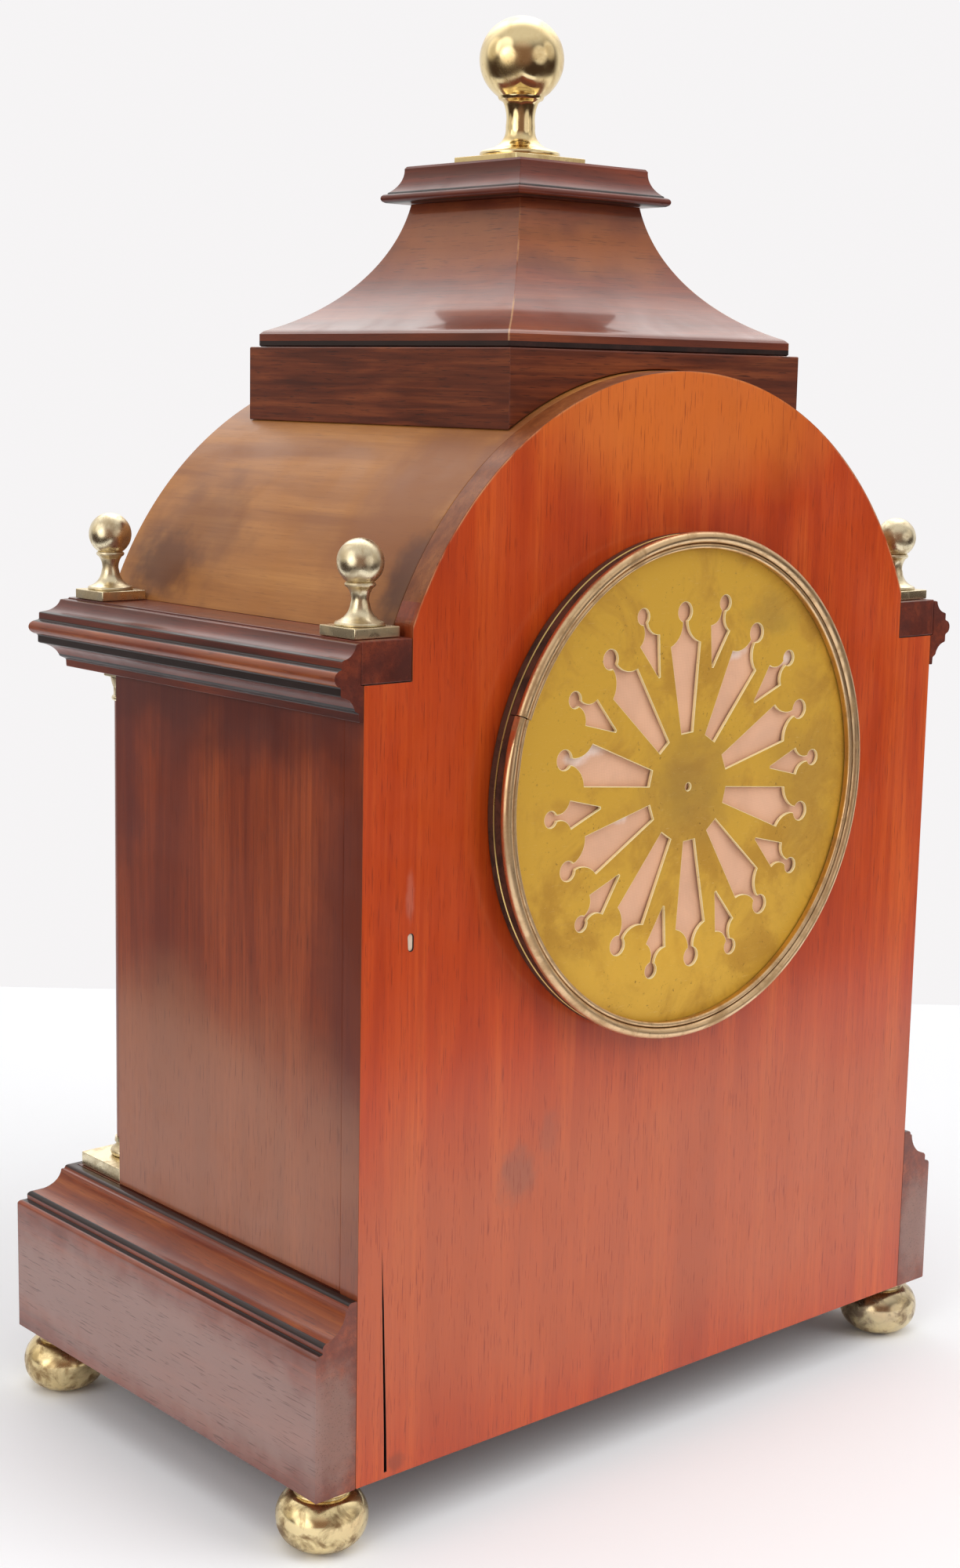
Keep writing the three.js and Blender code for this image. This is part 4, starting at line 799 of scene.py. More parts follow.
@dataclass(frozen=True)
class Mahogany:
    """French-polished mahogany: figure, fine streaks, pores, marks, painted light and shade, and a
    glossy coat.
    """

    name: str
    grain: Grain
    tone: Tone
    figure_mm: float = 15.0
    streak: float = 0.45
    pores: float = 0.55
    roughness: float = 0.38
    coat: float = 0.8
    coat_roughness: float = 0.16
    shift: Place = (0.0, 0.0, 0.0)
    stains: tuple[Patch, ...] = ()
    worn_arch: tuple[float, float] | None = None
    worn_hips: float | None = None

    def cells(self, across: float, along: float) -> Place:
        """Texture cells that are narrow across the grain and long along it."""
        cells = [1 / across] * 3
        cells[self.grain.value] = 1 / along
        return (cells[0], cells[1], cells[2])

    def material(self) -> Material:
        """Makes the material.

        Returns:
            The finished material.
        """
        sh = Shading(self.name)
        tone, shift = self.tone, self.shift
        figure = sh.noise(self.cells(self.figure_mm, self.figure_mm * 9), 3.0, 0.55, 0.6, shift)
        colour = sh.ramp(figure, ((0.3, tone.dark), (0.5, tone.middle), (0.7, tone.light)))
        streaks = sh.noise(self.cells(1.5, 70), 5.0, 0.65, 0.25, shift)
        colour = sh.mix(sh.step(streaks, 0.62, 0.34, self.streak), colour, tone.dark)
        colour = sh.mix(sh.step(streaks, 0.55, 0.75, self.streak * 0.6), colour, tone.light)
        if self.worn_arch is not None:
            colour = self.wear_arch(sh, colour, self.worn_arch)
        if self.worn_hips is not None:
            colour = self.wear_hips(sh, colour, self.worn_hips)
        colour = sh.patched(colour, self.stains)
        vessels = sh.noise(self.cells(0.42, 9), 2.0, 0.6, 0.1, shift)
        open_pores = sh.step(vessels, 0.58, 0.7, self.pores)
        colour = sh.mix(open_pores, colour, tone.pore)
        smears = sh.noise(1 / 26, 3.0, 0.6, 0.4, shift)
        rough = sh.scaled(sh.step(smears, 0.35, 0.7), 0.16, self.roughness - 0.06)
        relief = sh.math("SUBTRACT", 1.0, open_pores)
        return sh.close(
            Base_Color=colour,
            Roughness=rough,
            Specular_IOR_Level=0.28,
            Coat_Weight=self.coat,
            Coat_Roughness=self.coat_roughness,
            Normal=sh.bump(relief, 0.02, 0.6),
        )

    @staticmethod
    def wear_arch(sh: Shading, colour: Socket, arch: tuple[float, float]) -> Socket:
        """Polish rubbed through along an arched edge.

        Args:
            sh: The material in the making.
            colour: Colour so far.
            arch: Height of the arch's centre and its radius.

        Returns:
            The colour with a pale line along the edge.
        """
        height, radius = arch
        up = sh.math("SUBTRACT", sh.axis(2), height)
        squares = sh.math("ADD", sh.math("POWER", sh.axis(0), 2.0), sh.math("POWER", up, 2.0))
        distance = sh.math("SQRT", squares)
        line = sh.step(distance, radius - 0.75, radius - 0.25, 0.7)
        above = sh.step(up, 36.0, 44.0)
        broken = sh.step(sh.noise(0.11, 2.0), 0.35, 0.6)
        amount = sh.math("MULTIPLY", sh.math("MULTIPLY", line, above), broken)
        return sh.mix(amount, colour, (0.62, 0.34, 0.17))

    @staticmethod
    def wear_hips(sh: Shading, colour: Socket, middle: float) -> Socket:
        """Polish rubbed through along the mitred hips of a four-sided roof.

        Args:
            sh: The material in the making.
            colour: Colour so far.
            middle: The roof's middle along Y.

        Returns:
            The colour with a pale line on each hip.
        """
        width = sh.math("ABSOLUTE", sh.axis(0))
        depth = sh.math("ABSOLUTE", sh.math("SUBTRACT", sh.axis(1), middle))
        gap = sh.math("ABSOLUTE", sh.math("SUBTRACT", sh.math("SUBTRACT", depth, width), 0.4))
        line = sh.step(gap, 0.55, 0.15, 0.75)
        broken = sh.step(sh.noise(0.07, 2.0), 0.42, 0.58)
        return sh.mix(sh.math("MULTIPLY", line, broken), colour, (0.55, 0.31, 0.16))


@dataclass(frozen=True)
class Brass:
    """Brass with clouds of tarnish, brown specks and fine scratches."""

    name: str
    bright: Colour
    cloud: Colour
    speck: Colour
    roughness: float
    cloud_mm: float = 14.0
    clouding: float = 0.5
    specks: float = 0.5
    speck_mm: float = 1.1
    scratches: float = 0.3
    metallic: float = 1.0
    stains: tuple[Patch, ...] = ()

    def material(self) -> Material:
        """Makes the material.

        Returns:
            The finished material.
        """
        sh = Shading(self.name)
        clouds = sh.noise(1 / self.cloud_mm, 5.0, 0.62, 0.5)
        dull = sh.step(clouds, 0.42, 0.68, self.clouding)
        colour = sh.patched(sh.mix(dull, self.bright, self.cloud), self.stains)
        fine = sh.noise(1 / self.speck_mm, 3.0, 0.7, 0.2)
        gathered = sh.step(sh.noise(1 / (self.speck_mm * 9), 2.0), 0.4, 0.7)
        marks = sh.math("MULTIPLY", sh.step(fine, 0.6, 0.72), gathered)
        marks = sh.math("MULTIPLY", marks, self.specks)
        colour = sh.mix(marks, colour, self.speck)
        lines = sh.noise((0.35, 2.6, 4.5), 2.0, 0.5, 1.6)
        scores = sh.step(lines, 0.66, 0.72, self.scratches)
        colour = sh.mix(sh.math("MULTIPLY", scores, 0.35), colour, (0.95, 0.83, 0.5))
        rough = sh.scaled(sh.math("ADD", dull, marks, clamp=True), 0.3, self.roughness)
        relief = sh.math("SUBTRACT", 1.0, sh.math("ADD", marks, sh.math("MULTIPLY", scores, 0.3)))
        return sh.close(
            Base_Color=colour,
            Metallic=self.metallic,
            Roughness=rough,
            Normal=sh.bump(relief, 0.02, 0.5),
        )


@dataclass(frozen=True)
class Steel:
    """Turned or blued steel with fine turning lines."""

    name: str
    colour: Colour
    shade: Colour
    roughness: float

    def material(self) -> Material:
        """Makes the material.

        Returns:
            The finished material.
        """
        sh = Shading(self.name)
        clouds = sh.noise(0.12, 4.0, 0.6, 0.4)
        colour = sh.mix(sh.step(clouds, 0.35, 0.7), self.colour, self.shade)
        lines = sh.noise((0.4, 5.0, 5.0), 2.0, 0.5, 0.2)
        rough = sh.scaled(lines, 0.16, self.roughness)
        return sh.close(
            Base_Color=colour, Metallic=1.0, Roughness=rough, Normal=sh.bump(lines, 0.01, 0.4)
        )


@dataclass(frozen=True)
class Silk:
    """Faded plain-woven silk behind the piercings, with pale painted highlights on its folds."""

    name: str
    colour: Colour
    shade: Colour
    fold_highlights: tuple[Patch, ...] = ()
    threads_per_mm: float = 2.2

    def material(self) -> Material:
        """Makes the material.

        Returns:
            The finished material.
        """
        sh = Shading(self.name)
        warp = self.threads(sh, 0)
        weft = self.threads(sh, 2)
        weave = sh.math("MULTIPLY", sh.math("ADD", warp, weft), 0.5)
        age = sh.noise(0.05, 4.0, 0.6, 0.5)
        colour = sh.mix(sh.step(age, 0.35, 0.7), self.colour, self.shade)
        colour = sh.patched(colour, self.fold_highlights)
        colour = sh.mix(sh.math("MULTIPLY", weave, 0.22), colour, (0.3, 0.13, 0.08))
        return sh.close(
            Base_Color=colour,
            Roughness=0.75,
            Sheen_Weight=0.35,
            Sheen_Roughness=0.5,
            Normal=sh.bump(weave, 0.05, 0.5),
        )

    def threads(self, sh: Shading, axis: int) -> Socket:
        """One set of threads.

        Args:
            sh: The material in the making.
            axis: Axis that the threads are counted along.

        Returns:
            0 on a thread and 1 between two.
        """
        turns = sh.math("MULTIPLY", sh.axis(axis), 2 * math.pi * self.threads_per_mm)
        return sh.scaled(sh.math("SINE", turns), 0.5, 0.5)


@dataclass(frozen=True)
class Glass:
    """Clear bevelled plate glass."""

    name: str

    def material(self) -> Material:
        """Makes the material.

        Returns:
            The finished material.
        """
        sh = Shading(self.name)
        smears = sh.noise(0.03, 3.0, 0.6, 0.5)
        rough = sh.math("MULTIPLY", sh.step(smears, 0.4, 0.8), 0.03)
        return sh.close(
            Base_Color=(0.97, 0.99, 0.98),
            Roughness=rough,
            IOR=1.5,
            Transmission_Weight=1.0,
        )


@dataclass(frozen=True)
class Silvering:
    """Silvered brass dial with a grained face and faint yellowing."""

    name: str

    def material(self) -> Material:
        """Makes the material.

        Returns:
            The finished material.
        """
        sh = Shading(self.name)
        age = sh.noise(0.04, 4.0, 0.6, 0.4)
        colour = sh.mix(sh.step(age, 0.4, 0.75), (0.74, 0.71, 0.62), (0.6, 0.53, 0.38))
        graining = sh.noise((0.25, 3.5, 3.5), 2.0, 0.5, 0.1)
        rough = sh.scaled(graining, 0.2, 0.36)
        return sh.close(
            Base_Color=colour, Metallic=0.75, Roughness=rough, Normal=sh.bump(graining, 0.01, 0.4)
        )


@dataclass(frozen=True)
class Wax:
    """Black wax that fills engraved figures."""

    name: str

    def material(self) -> Material:
        """Makes the material.

        Returns:
            The finished material.
        """
        sh = Shading(self.name)
        worn = sh.noise(0.6, 3.0)
        colour = sh.mix(sh.step(worn, 0.5, 0.8), (0.012, 0.011, 0.01), (0.05, 0.045, 0.04))
        return sh.close(Base_Color=colour, Roughness=0.4)


@dataclass(frozen=True)
class BareWood:
    """Pale unpolished wood in a chip."""

    name: str

    def material(self) -> Material:
        """Makes the material.

        Returns:
            The finished material.
        """
        sh = Shading(self.name)
        fibres = sh.noise((2.5, 2.5, 0.25), 3.0)
        colour = sh.mix(fibres, (0.78, 0.62, 0.5), (0.6, 0.42, 0.3))
        return sh.close(Base_Color=colour, Roughness=0.8, Normal=sh.bump(fibres, 0.05, 0.5))


class TwoWays(NamedTuple):
    """One mahogany finish with its grain along X, and again with its grain along Y."""

    along_x: Material
    along_y: Material

    @classmethod
    def of(cls, name: str, tone: Tone, shifts: Sequence[Place], **look: object) -> TwoWays:
        """Makes both materials.

        Args:
            name: What both names start with.
            tone: Colours of the wood.
            shifts: Shift of the figure, for the grain along X and for the grain along Y.
            **look: Other fields of Mahogany.

        Returns:
            The two materials.
        """
        ways = ((Grain.ALONG_X, "front"), (Grain.ALONG_Y, "side"))
        return cls(
            *(
                Mahogany(f"{name}_{end}", grain, tone, shift=shift, **look).material()
                for (grain, end), shift in zip(ways, shifts)
            )
        )


class Finishes:
    """Every material of the clock."""

    roof_middle = 3.9  # middle of the caddy roof along Y

    def __init__(self, datum: Datum) -> None:
        """Makes the materials.

        Args:
            datum: Planes that the marks are placed from.
        """
        self.panels(datum)
        self.mouldings(datum)
        self.roofs(datum.base)
        self.case_brass(datum)
        self.door_brass(datum)
        self.movement = Brass(
            "movement_brass", (0.72, 0.5, 0.19), (0.5, 0.33, 0.11), (0.16, 0.09, 0.03), 0.25
        ).material()
        self.bell = Brass(
            "bell_metal", (0.7, 0.58, 0.34), (0.5, 0.38, 0.2), (0.18, 0.11, 0.05), 0.24
        ).material()
        bright = Steel("bright_steel", (0.5, 0.51, 0.53), (0.33, 0.32, 0.3), 0.2)
        blued = Steel("blued_steel", (0.02, 0.035, 0.11), (0.035, 0.03, 0.07), 0.16)
        self.bright_steel, self.blued_steel = bright.material(), blued.material()
        self.glass = Glass("clear_glass").material()
        self.dial = Silvering("silvered_dial").material()
        self.wax = Wax("black_wax").material()
        self.bare = BareWood("bare_wood").material()

    def panels(self, datum: Datum) -> None:
        """The orange back, its cut edges, and the darker sides."""
        back, base = datum.back, datum.base
        mauve, soot = (0.16, 0.05, 0.045), (0.055, 0.02, 0.014)
        self.back = Mahogany(
            "back_mahogany", Grain.UPRIGHT,
            Tone((0.37, 0.032, 0.003), (0.51, 0.056, 0.005),
                 (0.62, 0.098, 0.011), (0.2, 0.018, 0.003)),
            figure_mm=17, streak=0.5, coat=0.55,
            worn_arch=(datum.arch_centre, datum.arch_radius),
            stains=(
                Patch((0, back, base + 306), (96, 20, 40), (0.66, 0.16, 0.018), 0.75, 0.2, 20),
                Patch((70, back, base + 200), (60, 20, 90), (0.42, 0.042, 0.004), 0.4, 0.3, 30),
                Patch((60.8, back, base + 79.3), (9, 6, 11), mauve, 0.8, 0.5, 5),
                Patch((49, back, base + 90), (5, 6, 10), mauve, 0.4, 0.6, 5),
                Patch((105.3, back, base + 4), (4, 5, 4), soot, 0.4, 0.5, 3),
                Patch((103.1, back, base + 168), (2.0, 4, 9), (0.5, 0.17, 0.12), 0.4, 0.4, 4),
                # Pale pinkish wash low on the back: painted reflection of the white floor in the
                # polish.
                Patch((0, back, base + 55), (260, 30, 70), (0.48, 0.13, 0.05), 0.55, 0.2, 40),
            ),
        ).material()
        self.back_edge = Mahogany(
            "back_edge_mahogany", Grain.UPRIGHT,
            Tone((0.14, 0.036, 0.01), (0.22, 0.062, 0.017),
                 (0.29, 0.095, 0.027), (0.07, 0.018, 0.007)),
            figure_mm=8, coat=0.15, shift=(2.2, 6.1, 0.7),
        ).material()
        self.dark_upright = Mahogany(
            "side_mahogany", Grain.UPRIGHT,
            Tone((0.14, 0.019, 0.006), (0.25, 0.04, 0.009),
                 (0.36, 0.068, 0.015), (0.07, 0.012, 0.006)),
            figure_mm=16, streak=0.5, pores=0.5, coat=0.5, shift=(3.1, 1.7, 5.3),
            stains=(
                # Dark band across the top of the side, under the cornice: painted shade.
                Patch((120, 0, base + 226), (30, 120, 36), (0.07, 0.013, 0.01), 0.8, 0.4, 20),
                Patch((120, 74, base + 150), (20, 24, 100), (0.11, 0.018, 0.009), 0.75, 0.4, 20),
                Patch((120, -50, base + 190), (20, 26, 50), (0.09, 0.014, 0.012), 0.6, 0.4, 14),
                # Pale tan wash low on the side: partly dust, partly painted reflection of the white
                # floor.
                Patch((120, 0, base + 84), (20, 130, 62), (0.36, 0.135, 0.062), 0.65, 0.3, 30),
            ),
        ).material()

    def mouldings(self, datum: Datum) -> None:
        """Plinth, cornices and cap: dark wood, worn wood with painted highlight, and painted shade
        in the quirks.
        """
        back, base = datum.back, datum.base
        self.dark = TwoWays.of(
            "moulding_mahogany",
            Tone((0.07, 0.014, 0.009), (0.12, 0.022, 0.012),
                 (0.2, 0.036, 0.014), (0.035, 0.008, 0.006)),
            ((1.3, 6.2, 8.4), (7.9, 2.2, 0.4)),
            figure_mm=9, streak=0.5, coat=0.4,
        )
        # Lighter orange-red for the cornice bead and the plinth cove: partly worn polish, partly
        # painted highlight.
        self.worn_and_highlit = TwoWays.of(
            "worn_and_highlit_mahogany",
            Tone((0.15, 0.022, 0.006), (0.25, 0.05, 0.01),
                 (0.4, 0.11, 0.022), (0.06, 0.011, 0.005)),
            ((3.9, 0.2, 6.1), (0.9, 4.2, 3.3)),
            figure_mm=6, streak=0.6, coat=0.5,
        )
        # Pale mauve wash on the plinth sides: partly dust, partly painted reflection of the white
        # floor.
        dust_and_sheen = [
            (
                Patch((side * 134, 0, base + 20), (6, 190, 27), (0.33, 0.2, 0.17), 0.8, 0.2, 9),
                Patch((side * 127, back, base + 20), (10, 3, 26), (0.25, 0.13, 0.1), 0.85, 0.3, 4),
            )
            for _, side in SIDES
        ]
        self.plinth_side = Mahogany(
            "plinth_mahogany_side", Grain.ALONG_Y,
            Tone((0.12, 0.022, 0.01), (0.2, 0.036, 0.013), (0.3, 0.06, 0.018), (0.05, 0.01, 0.006)),
            figure_mm=7, streak=0.6, coat=0.6, shift=(7.9, 2.2, 0.4),
            stains=(*dust_and_sheen[0], *dust_and_sheen[1]),
        ).material()
        # Near-black painted shade for quirks, grooves and joints, and for the walls of the crack
        # and the hole.
        self.painted_shade = Mahogany(
            "painted_shade_mahogany", Grain.ALONG_Y,
            Tone((0.011, 0.006, 0.006), (0.02, 0.009, 0.008),
                 (0.045, 0.016, 0.013), (0.008, 0.004, 0.004)),
            coat=0.25, shift=(6.9, 3.2, 1.4),
        ).material()

    def roofs(self, base: float) -> None:
        """The pale vault, the glossy caddy roof and the box under it."""
        self.vault = Mahogany(
            "vault_mahogany", Grain.ALONG_Y,
            Tone((0.27, 0.098, 0.026), (0.395, 0.158, 0.04),
                 (0.48, 0.21, 0.057), (0.17, 0.06, 0.02)),
            figure_mm=12, streak=0.3, pores=0.3, roughness=0.45, coat=0.2, coat_roughness=0.3,
            shift=(4.4, 9.1, 2.6),
            stains=(
                Patch((95, -40, base + 262), (24, 36, 32), (0.15, 0.05, 0.02), 0.55, 0.6, 12),
                Patch((98, -48, base + 250), (14, 20, 16), (0.09, 0.03, 0.016), 0.65, 0.5, 6),
                Patch((85, 52, base + 276), (48, 30, 56), (0.24, 0.08, 0.022), 0.85, 0.4, 12),
                Patch((97, 68, base + 254), (18, 12, 24), (0.09, 0.03, 0.017), 0.8, 0.5, 7),
                Patch((60, 70, base + 296), (30, 9, 26), (0.2, 0.065, 0.025), 0.7, 0.5, 9),
            ),
        ).material()
        middle = self.roof_middle
        self.roof = TwoWays.of(
            "roof_mahogany",
            Tone((0.11, 0.02, 0.009), (0.19, 0.035, 0.012),
                 (0.27, 0.06, 0.018), (0.05, 0.011, 0.006)),
            ((2.5, 8.3, 1.7), (5.5, 0.3, 7.7)),
            figure_mm=8, streak=0.4, coat=0.55, coat_roughness=0.08, roughness=0.34,
            worn_hips=middle,
            stains=(
                Patch((0, middle, base + 320), (95, 95, 14), (0.1, 0.02, 0.008), 0.75, 0.3, 14),
                Patch((0, middle, base + 348), (70, 70, 16), (0.34, 0.1, 0.02), 0.7, 0.3, 14),
                Patch((0, middle, base + 370), (44, 44, 15), (0.075, 0.016, 0.009), 0.8, 0.3, 9),
            ),
        )
        self.box = TwoWays.of(
            "box_mahogany",
            Tone((0.07, 0.013, 0.005), (0.15, 0.03, 0.009),
                 (0.24, 0.058, 0.016), (0.035, 0.008, 0.004)),
            ((8.5, 2.3, 4.7), (1.5, 5.3, 2.7)),
            figure_mm=5, streak=0.7, pores=0.85, coat=0.2, coat_roughness=0.2, roughness=0.42,
        )

    def case_brass(self, datum: Datum) -> None:
        """Brass of the finials, the feet, the column ends and the glazed door."""
        self.polished = Brass(
            "polished_brass",
            (0.9, 0.74, 0.42), (0.62, 0.42, 0.17), (0.16, 0.08, 0.035), roughness=0.1,
            cloud_mm=11, clouding=0.6, specks=0.6,
        ).material()
        self.dull = Brass(
            "dulled_brass",
            (0.82, 0.72, 0.5), (0.55, 0.44, 0.27), (0.14, 0.1, 0.06), roughness=0.26, cloud_mm=5,
            clouding=0.8, specks=0.35, speck_mm=0.8,
        ).material()
        left_foot, right_foot = (-123.5, datum.back - 10.8, 10), (123.5, -72.5, 10)
        self.foot = Brass(
            "foot_brass",
            (0.88, 0.72, 0.4), (0.2, 0.11, 0.045), (0.09, 0.05, 0.025), roughness=0.18,
            cloud_mm=6, clouding=0.9, specks=0.8, speck_mm=0.7,
            stains=(
                Patch(left_foot, (18, 18, 14), (0.3, 0.26, 0.24), 0.85, 0.2, 5),
                Patch(right_foot, (18, 18, 14), (0.42, 0.27, 0.1), 0.6, 0.2, 5),
            ),
        ).material()

    def door_brass(self, datum: Datum) -> None:
        """Brass of the pierced rear door, and the silk behind it."""
        back, centre = datum.back, datum.door_centre
        self.plate = Brass(
            "rear_plate_brass",
            (0.72, 0.41, 0.045), (0.5, 0.26, 0.03), (0.2, 0.09, 0.02), roughness=0.45,
            cloud_mm=22, clouding=0.85, specks=0.9, speck_mm=1.3, scratches=0.5, metallic=0.35,
            stains=(
                Patch((0, back, centre), (30, 12, 30), (0.4, 0.22, 0.04), 0.75, 0.25, 9),
                Patch((10, back, centre - 52), (52, 12, 18), (0.8, 0.46, 0.05), 0.7, 0.4, 12),
                Patch((-52, back, centre - 4), (26, 12, 44), (0.45, 0.24, 0.036), 0.6, 0.4, 12),
                Patch((-36, back, centre + 50), (18, 12, 10), (0.4, 0.24, 0.045), 0.5, 0.5, 8),
            ),
        ).material()
        # Bright pale brass on the cut walls of the piercings: painted highlight.
        self.cut_edge_highlight = Brass(
            "highlit_cut_brass", (0.97, 0.86, 0.5), (0.9, 0.7, 0.32), (0.5, 0.3, 0.1), 0.3, metallic=0.35
        ).material()
        # Near-black brass for the outer walls of the rear rings: dark tarnish with painted shade.
        self.ring_wall_tarnish_and_shade = Brass(
            "tarnished_shaded_ring_brass",
            (0.13, 0.065, 0.045), (0.05, 0.025, 0.02), (0.03, 0.015, 0.012), roughness=0.46,
            cloud_mm=8, clouding=0.9, specks=0.8, metallic=0.6,
        ).material()
        self.ring_bead = Brass(
            "rolled_bead_brass",
            (0.8, 0.57, 0.33), (0.52, 0.34, 0.17), (0.16, 0.08, 0.04), roughness=0.3, cloud_mm=7,
            clouding=0.75, specks=0.9, speck_mm=0.7,
        ).material()
        # Pale patches at the tips of the piercings: painted highlights on folds of the silk.
        pale = (0.93, 0.74, 0.66)
        fold_highlight_spots = ((38.6, 223.8), (45.4, 221.5), (-19.8, 248.2), (-42.0, 244.9), (28.0, 203.1))
        fold_highlights = tuple(Patch((x, back, z), (6.5, 20, 3.2), pale, 0.85, 0.4, 3) for x, z in fold_highlight_spots)
        self.silk = Silk("pink_silk", (0.82, 0.46, 0.285), (0.72, 0.4, 0.25), fold_highlights).material()


# --- Case ---


@dataclass
class Plinth:
    """Mitred plinth with a cove moulding, open at the back where the back panel closes it."""

    datum: Datum
    finishes: Finishes
    projection: float = 14.3
    board_height: float = 41.8
    top: float = 55.9
    ease: float = 0.5

    def profile(self) -> Loop:
        """Board, quirk, cove and top bead, as distance out and height.

        Returns:
            The closed profile.
        """
        out, base, top = self.projection, self.datum.base, self.datum.base + self.top
        board = base + self.board_height
        ease = ((out, board - 0.4), (out - 0.35, board + 0.9), (out - 1.6, board + 1.4))
        outline = [
            (GLUE, base), (out, base),
            *arc_through(*ease, 5),
            (out - 2.3, board + 1.5), (out - 2.3, board + 2.6), (out - 2.3, board + 3.6),
            (out - 3.0, board + 4.3),
            *arc_through((out - 3.4, top - 9.6), (6.4, top - 7.1), (4.0, top - 1.6), 12),
            (3.3, top - 1.5), (3.0, top - 0.4), (2.2, top), (GLUE, top),
        ]
        return eased(outline, self.ease)

    def streaks(self) -> tuple[Streak, ...]:
        """Painted shade in the quirks and along the top, and the worn cove with painted highlight.

        Returns:
            The stretches, with 1 for worn wood with painted highlight and 2 for painted shade.
        """
        board, top = self.datum.base + self.board_height, self.datum.base + self.top
        # Finish 2 paints shade into the quirks and along the top; finish 1 is the cove, worn with
        # painted highlight.
        return (
            (top - 0.9, top + 0.1, 0.2, 2), (board + 1.3, board + 1.9, 5.0, 2),
            (board + 2.9, board + 4.4, 5.0, 2), (board + 4.4, top - 1.9, 2.0, 1),
        )

    def build(self) -> None:
        """Builds the three mitred runs and dresses the bottom board."""
        profile = self.profile()
        finishes = self.finishes
        half, back, front = self.datum.body_half, self.datum.back, self.datum.front
        used = [finishes.plinth_side, finishes.worn_and_highlit.along_y, finishes.painted_shade]
        for name, side in SIDES:
            stations = (
                ((side * half, back), (side, 0.0)),
                ((side * half, front + GLUE), (side, -1.0)),
            )
            run = moulding(f"plinth_{name}_run", profile, stations, self.streaks())
            show(run, used, [f"plinth_side_{name}"])
        stations = (((-half, front), (-1.0, -1.0)), ((half, front), (1.0, -1.0)))
        run = moulding("plinth_front_run", profile, stations, self.streaks())
        used = [finishes.dark.along_x, finishes.worn_and_highlit.along_x, finishes.painted_shade]
        show(run, used, ["plinth_front"])
        dress("base_board", finishes.dark.along_x)


@dataclass
class Carcase:
    """Back, side and front panels and the corner posts."""

    datum: Datum
    finishes: Finishes
    shoulder_underside: float = 227.9
    notch_half: float = 103.4
    rear_hole: float = 72.5
    front_hole: float = 77.9
    thickness: float = 8.0
    front_half: float = 95.8
    body_bottom: float = 56.0
    ease: float = 0.45

    def arch(self, radius: float, foot: float, steps: int) -> Loop:
        """Arch outline from the right foot over the crown to the left foot."""
        angle = math.degrees(math.acos(foot / radius))
        return arc((0, self.datum.arch_centre), radius, angle, 180 - angle, steps)

    def build(self) -> None:
        """Builds the panels that show and dresses the rest."""
        self.back_panel()
        self.front_panel()
        finishes = self.finishes
        for name, _ in SIDES:
            node = f"side_panel_{name}"
            low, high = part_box(node)
            board = plate(
                f"side_board_{name}",
                rectangle((low.y / MM, low.z / MM), (high.y / MM, high.z / MM)),
                low.x / MM,
                high.x / MM,
                ease=self.ease,
                place=lambda across, up, depth: (depth, across, up),
            )
            show(board, [finishes.dark_upright], [node])
            dress(f"corner_post_{name}", finishes.dark_upright)

    def back_panel(self) -> None:
        """The back board, with its season crack and the chip below the shoulder."""
        base, back, half = self.datum.base, self.datum.back, self.datum.body_half
        underside = base + self.shoulder_underside
        right = [(half, base), (half, underside), (self.notch_half, underside)]
        arch = self.arch(self.datum.arch_radius, self.notch_half, 120)
        outline = [*right, *arch, *mirrored(right)]
        hole = ring_of((0.0, self.datum.door_centre), self.rear_hole, 96)
        crack = [
            (108.85, base + 2.0), (109.7, base + 2.0), (109.9, base + 14.0),
            (110.4, base + 30.0), (111.05, base + 52.0), (111.5, base + 69.8),
            (110.65, base + 52.0), (109.8, base + 30.0), (109.2, base + 14.0),
        ]
        chip = [
            *arc((102.7, base + 157.0), 1.0, 0, 180, 8),
            *arc((102.6, base + 153.9), 0.9, 180, 360, 8),
        ]
        board = plate(
            "back_board",
            eased(outline, self.ease),
            back,
            back - self.thickness,
            holes=[hole, crack, chip],
            ease=0.12,
            edge_finish=1,
        )
        finishes = self.finishes
        used = [finishes.back, finishes.back_edge, finishes.painted_shade, finishes.dark_upright]
        shown = show(board, used, ["back_panel"])
        self.sort_edges(shown)
        seat = moved_in(turned_round(chip, True), 0.05)
        slug = plate("back_chip", seat, back - 0.35, back - 4, ease=0.1)
        show(slug, [finishes.bare])

    def sort_edges(self, shown: Object) -> None:
        """Gives the walls of the crack, the chip and the hole painted shade, and the sides dark
        polish.

        Args:
            shown: The back board.
        """
        edge, painted_shade_walls, polish = 1, 2, 3
        base = self.datum.base
        underside, half = (base + self.shoulder_underside) * MM, (self.datum.body_half - 1) * MM
        for polygon in shown.data.polygons:
            if polygon.material_index != edge:
                continue
            middle = polygon.center
            inside = abs(middle.x) < half and middle.z < underside
            if abs(polygon.normal.x) > 0.9 and not inside:
                polygon.material_index = polish
            elif inside and middle.z > (base + 1) * MM:
                polygon.material_index = painted_shade_walls

    def front_panel(self) -> None:
        """The front board inside the vault."""
        base, front = self.datum.base, self.datum.front
        radius = self.datum.arch_radius - self.datum.vault_thickness - 0.3
        outline = [
            (self.front_half, base + self.body_bottom),
            *self.arch(radius, self.front_half, 96),
            (-self.front_half, base + self.body_bottom),
        ]
        hole = ring_of((0.0, self.datum.door_centre), self.front_hole, 96)
        board = plate("front_board", outline, front, front + self.thickness, holes=[hole])
        show(board, [self.finishes.dark_upright], ["front_panel"])


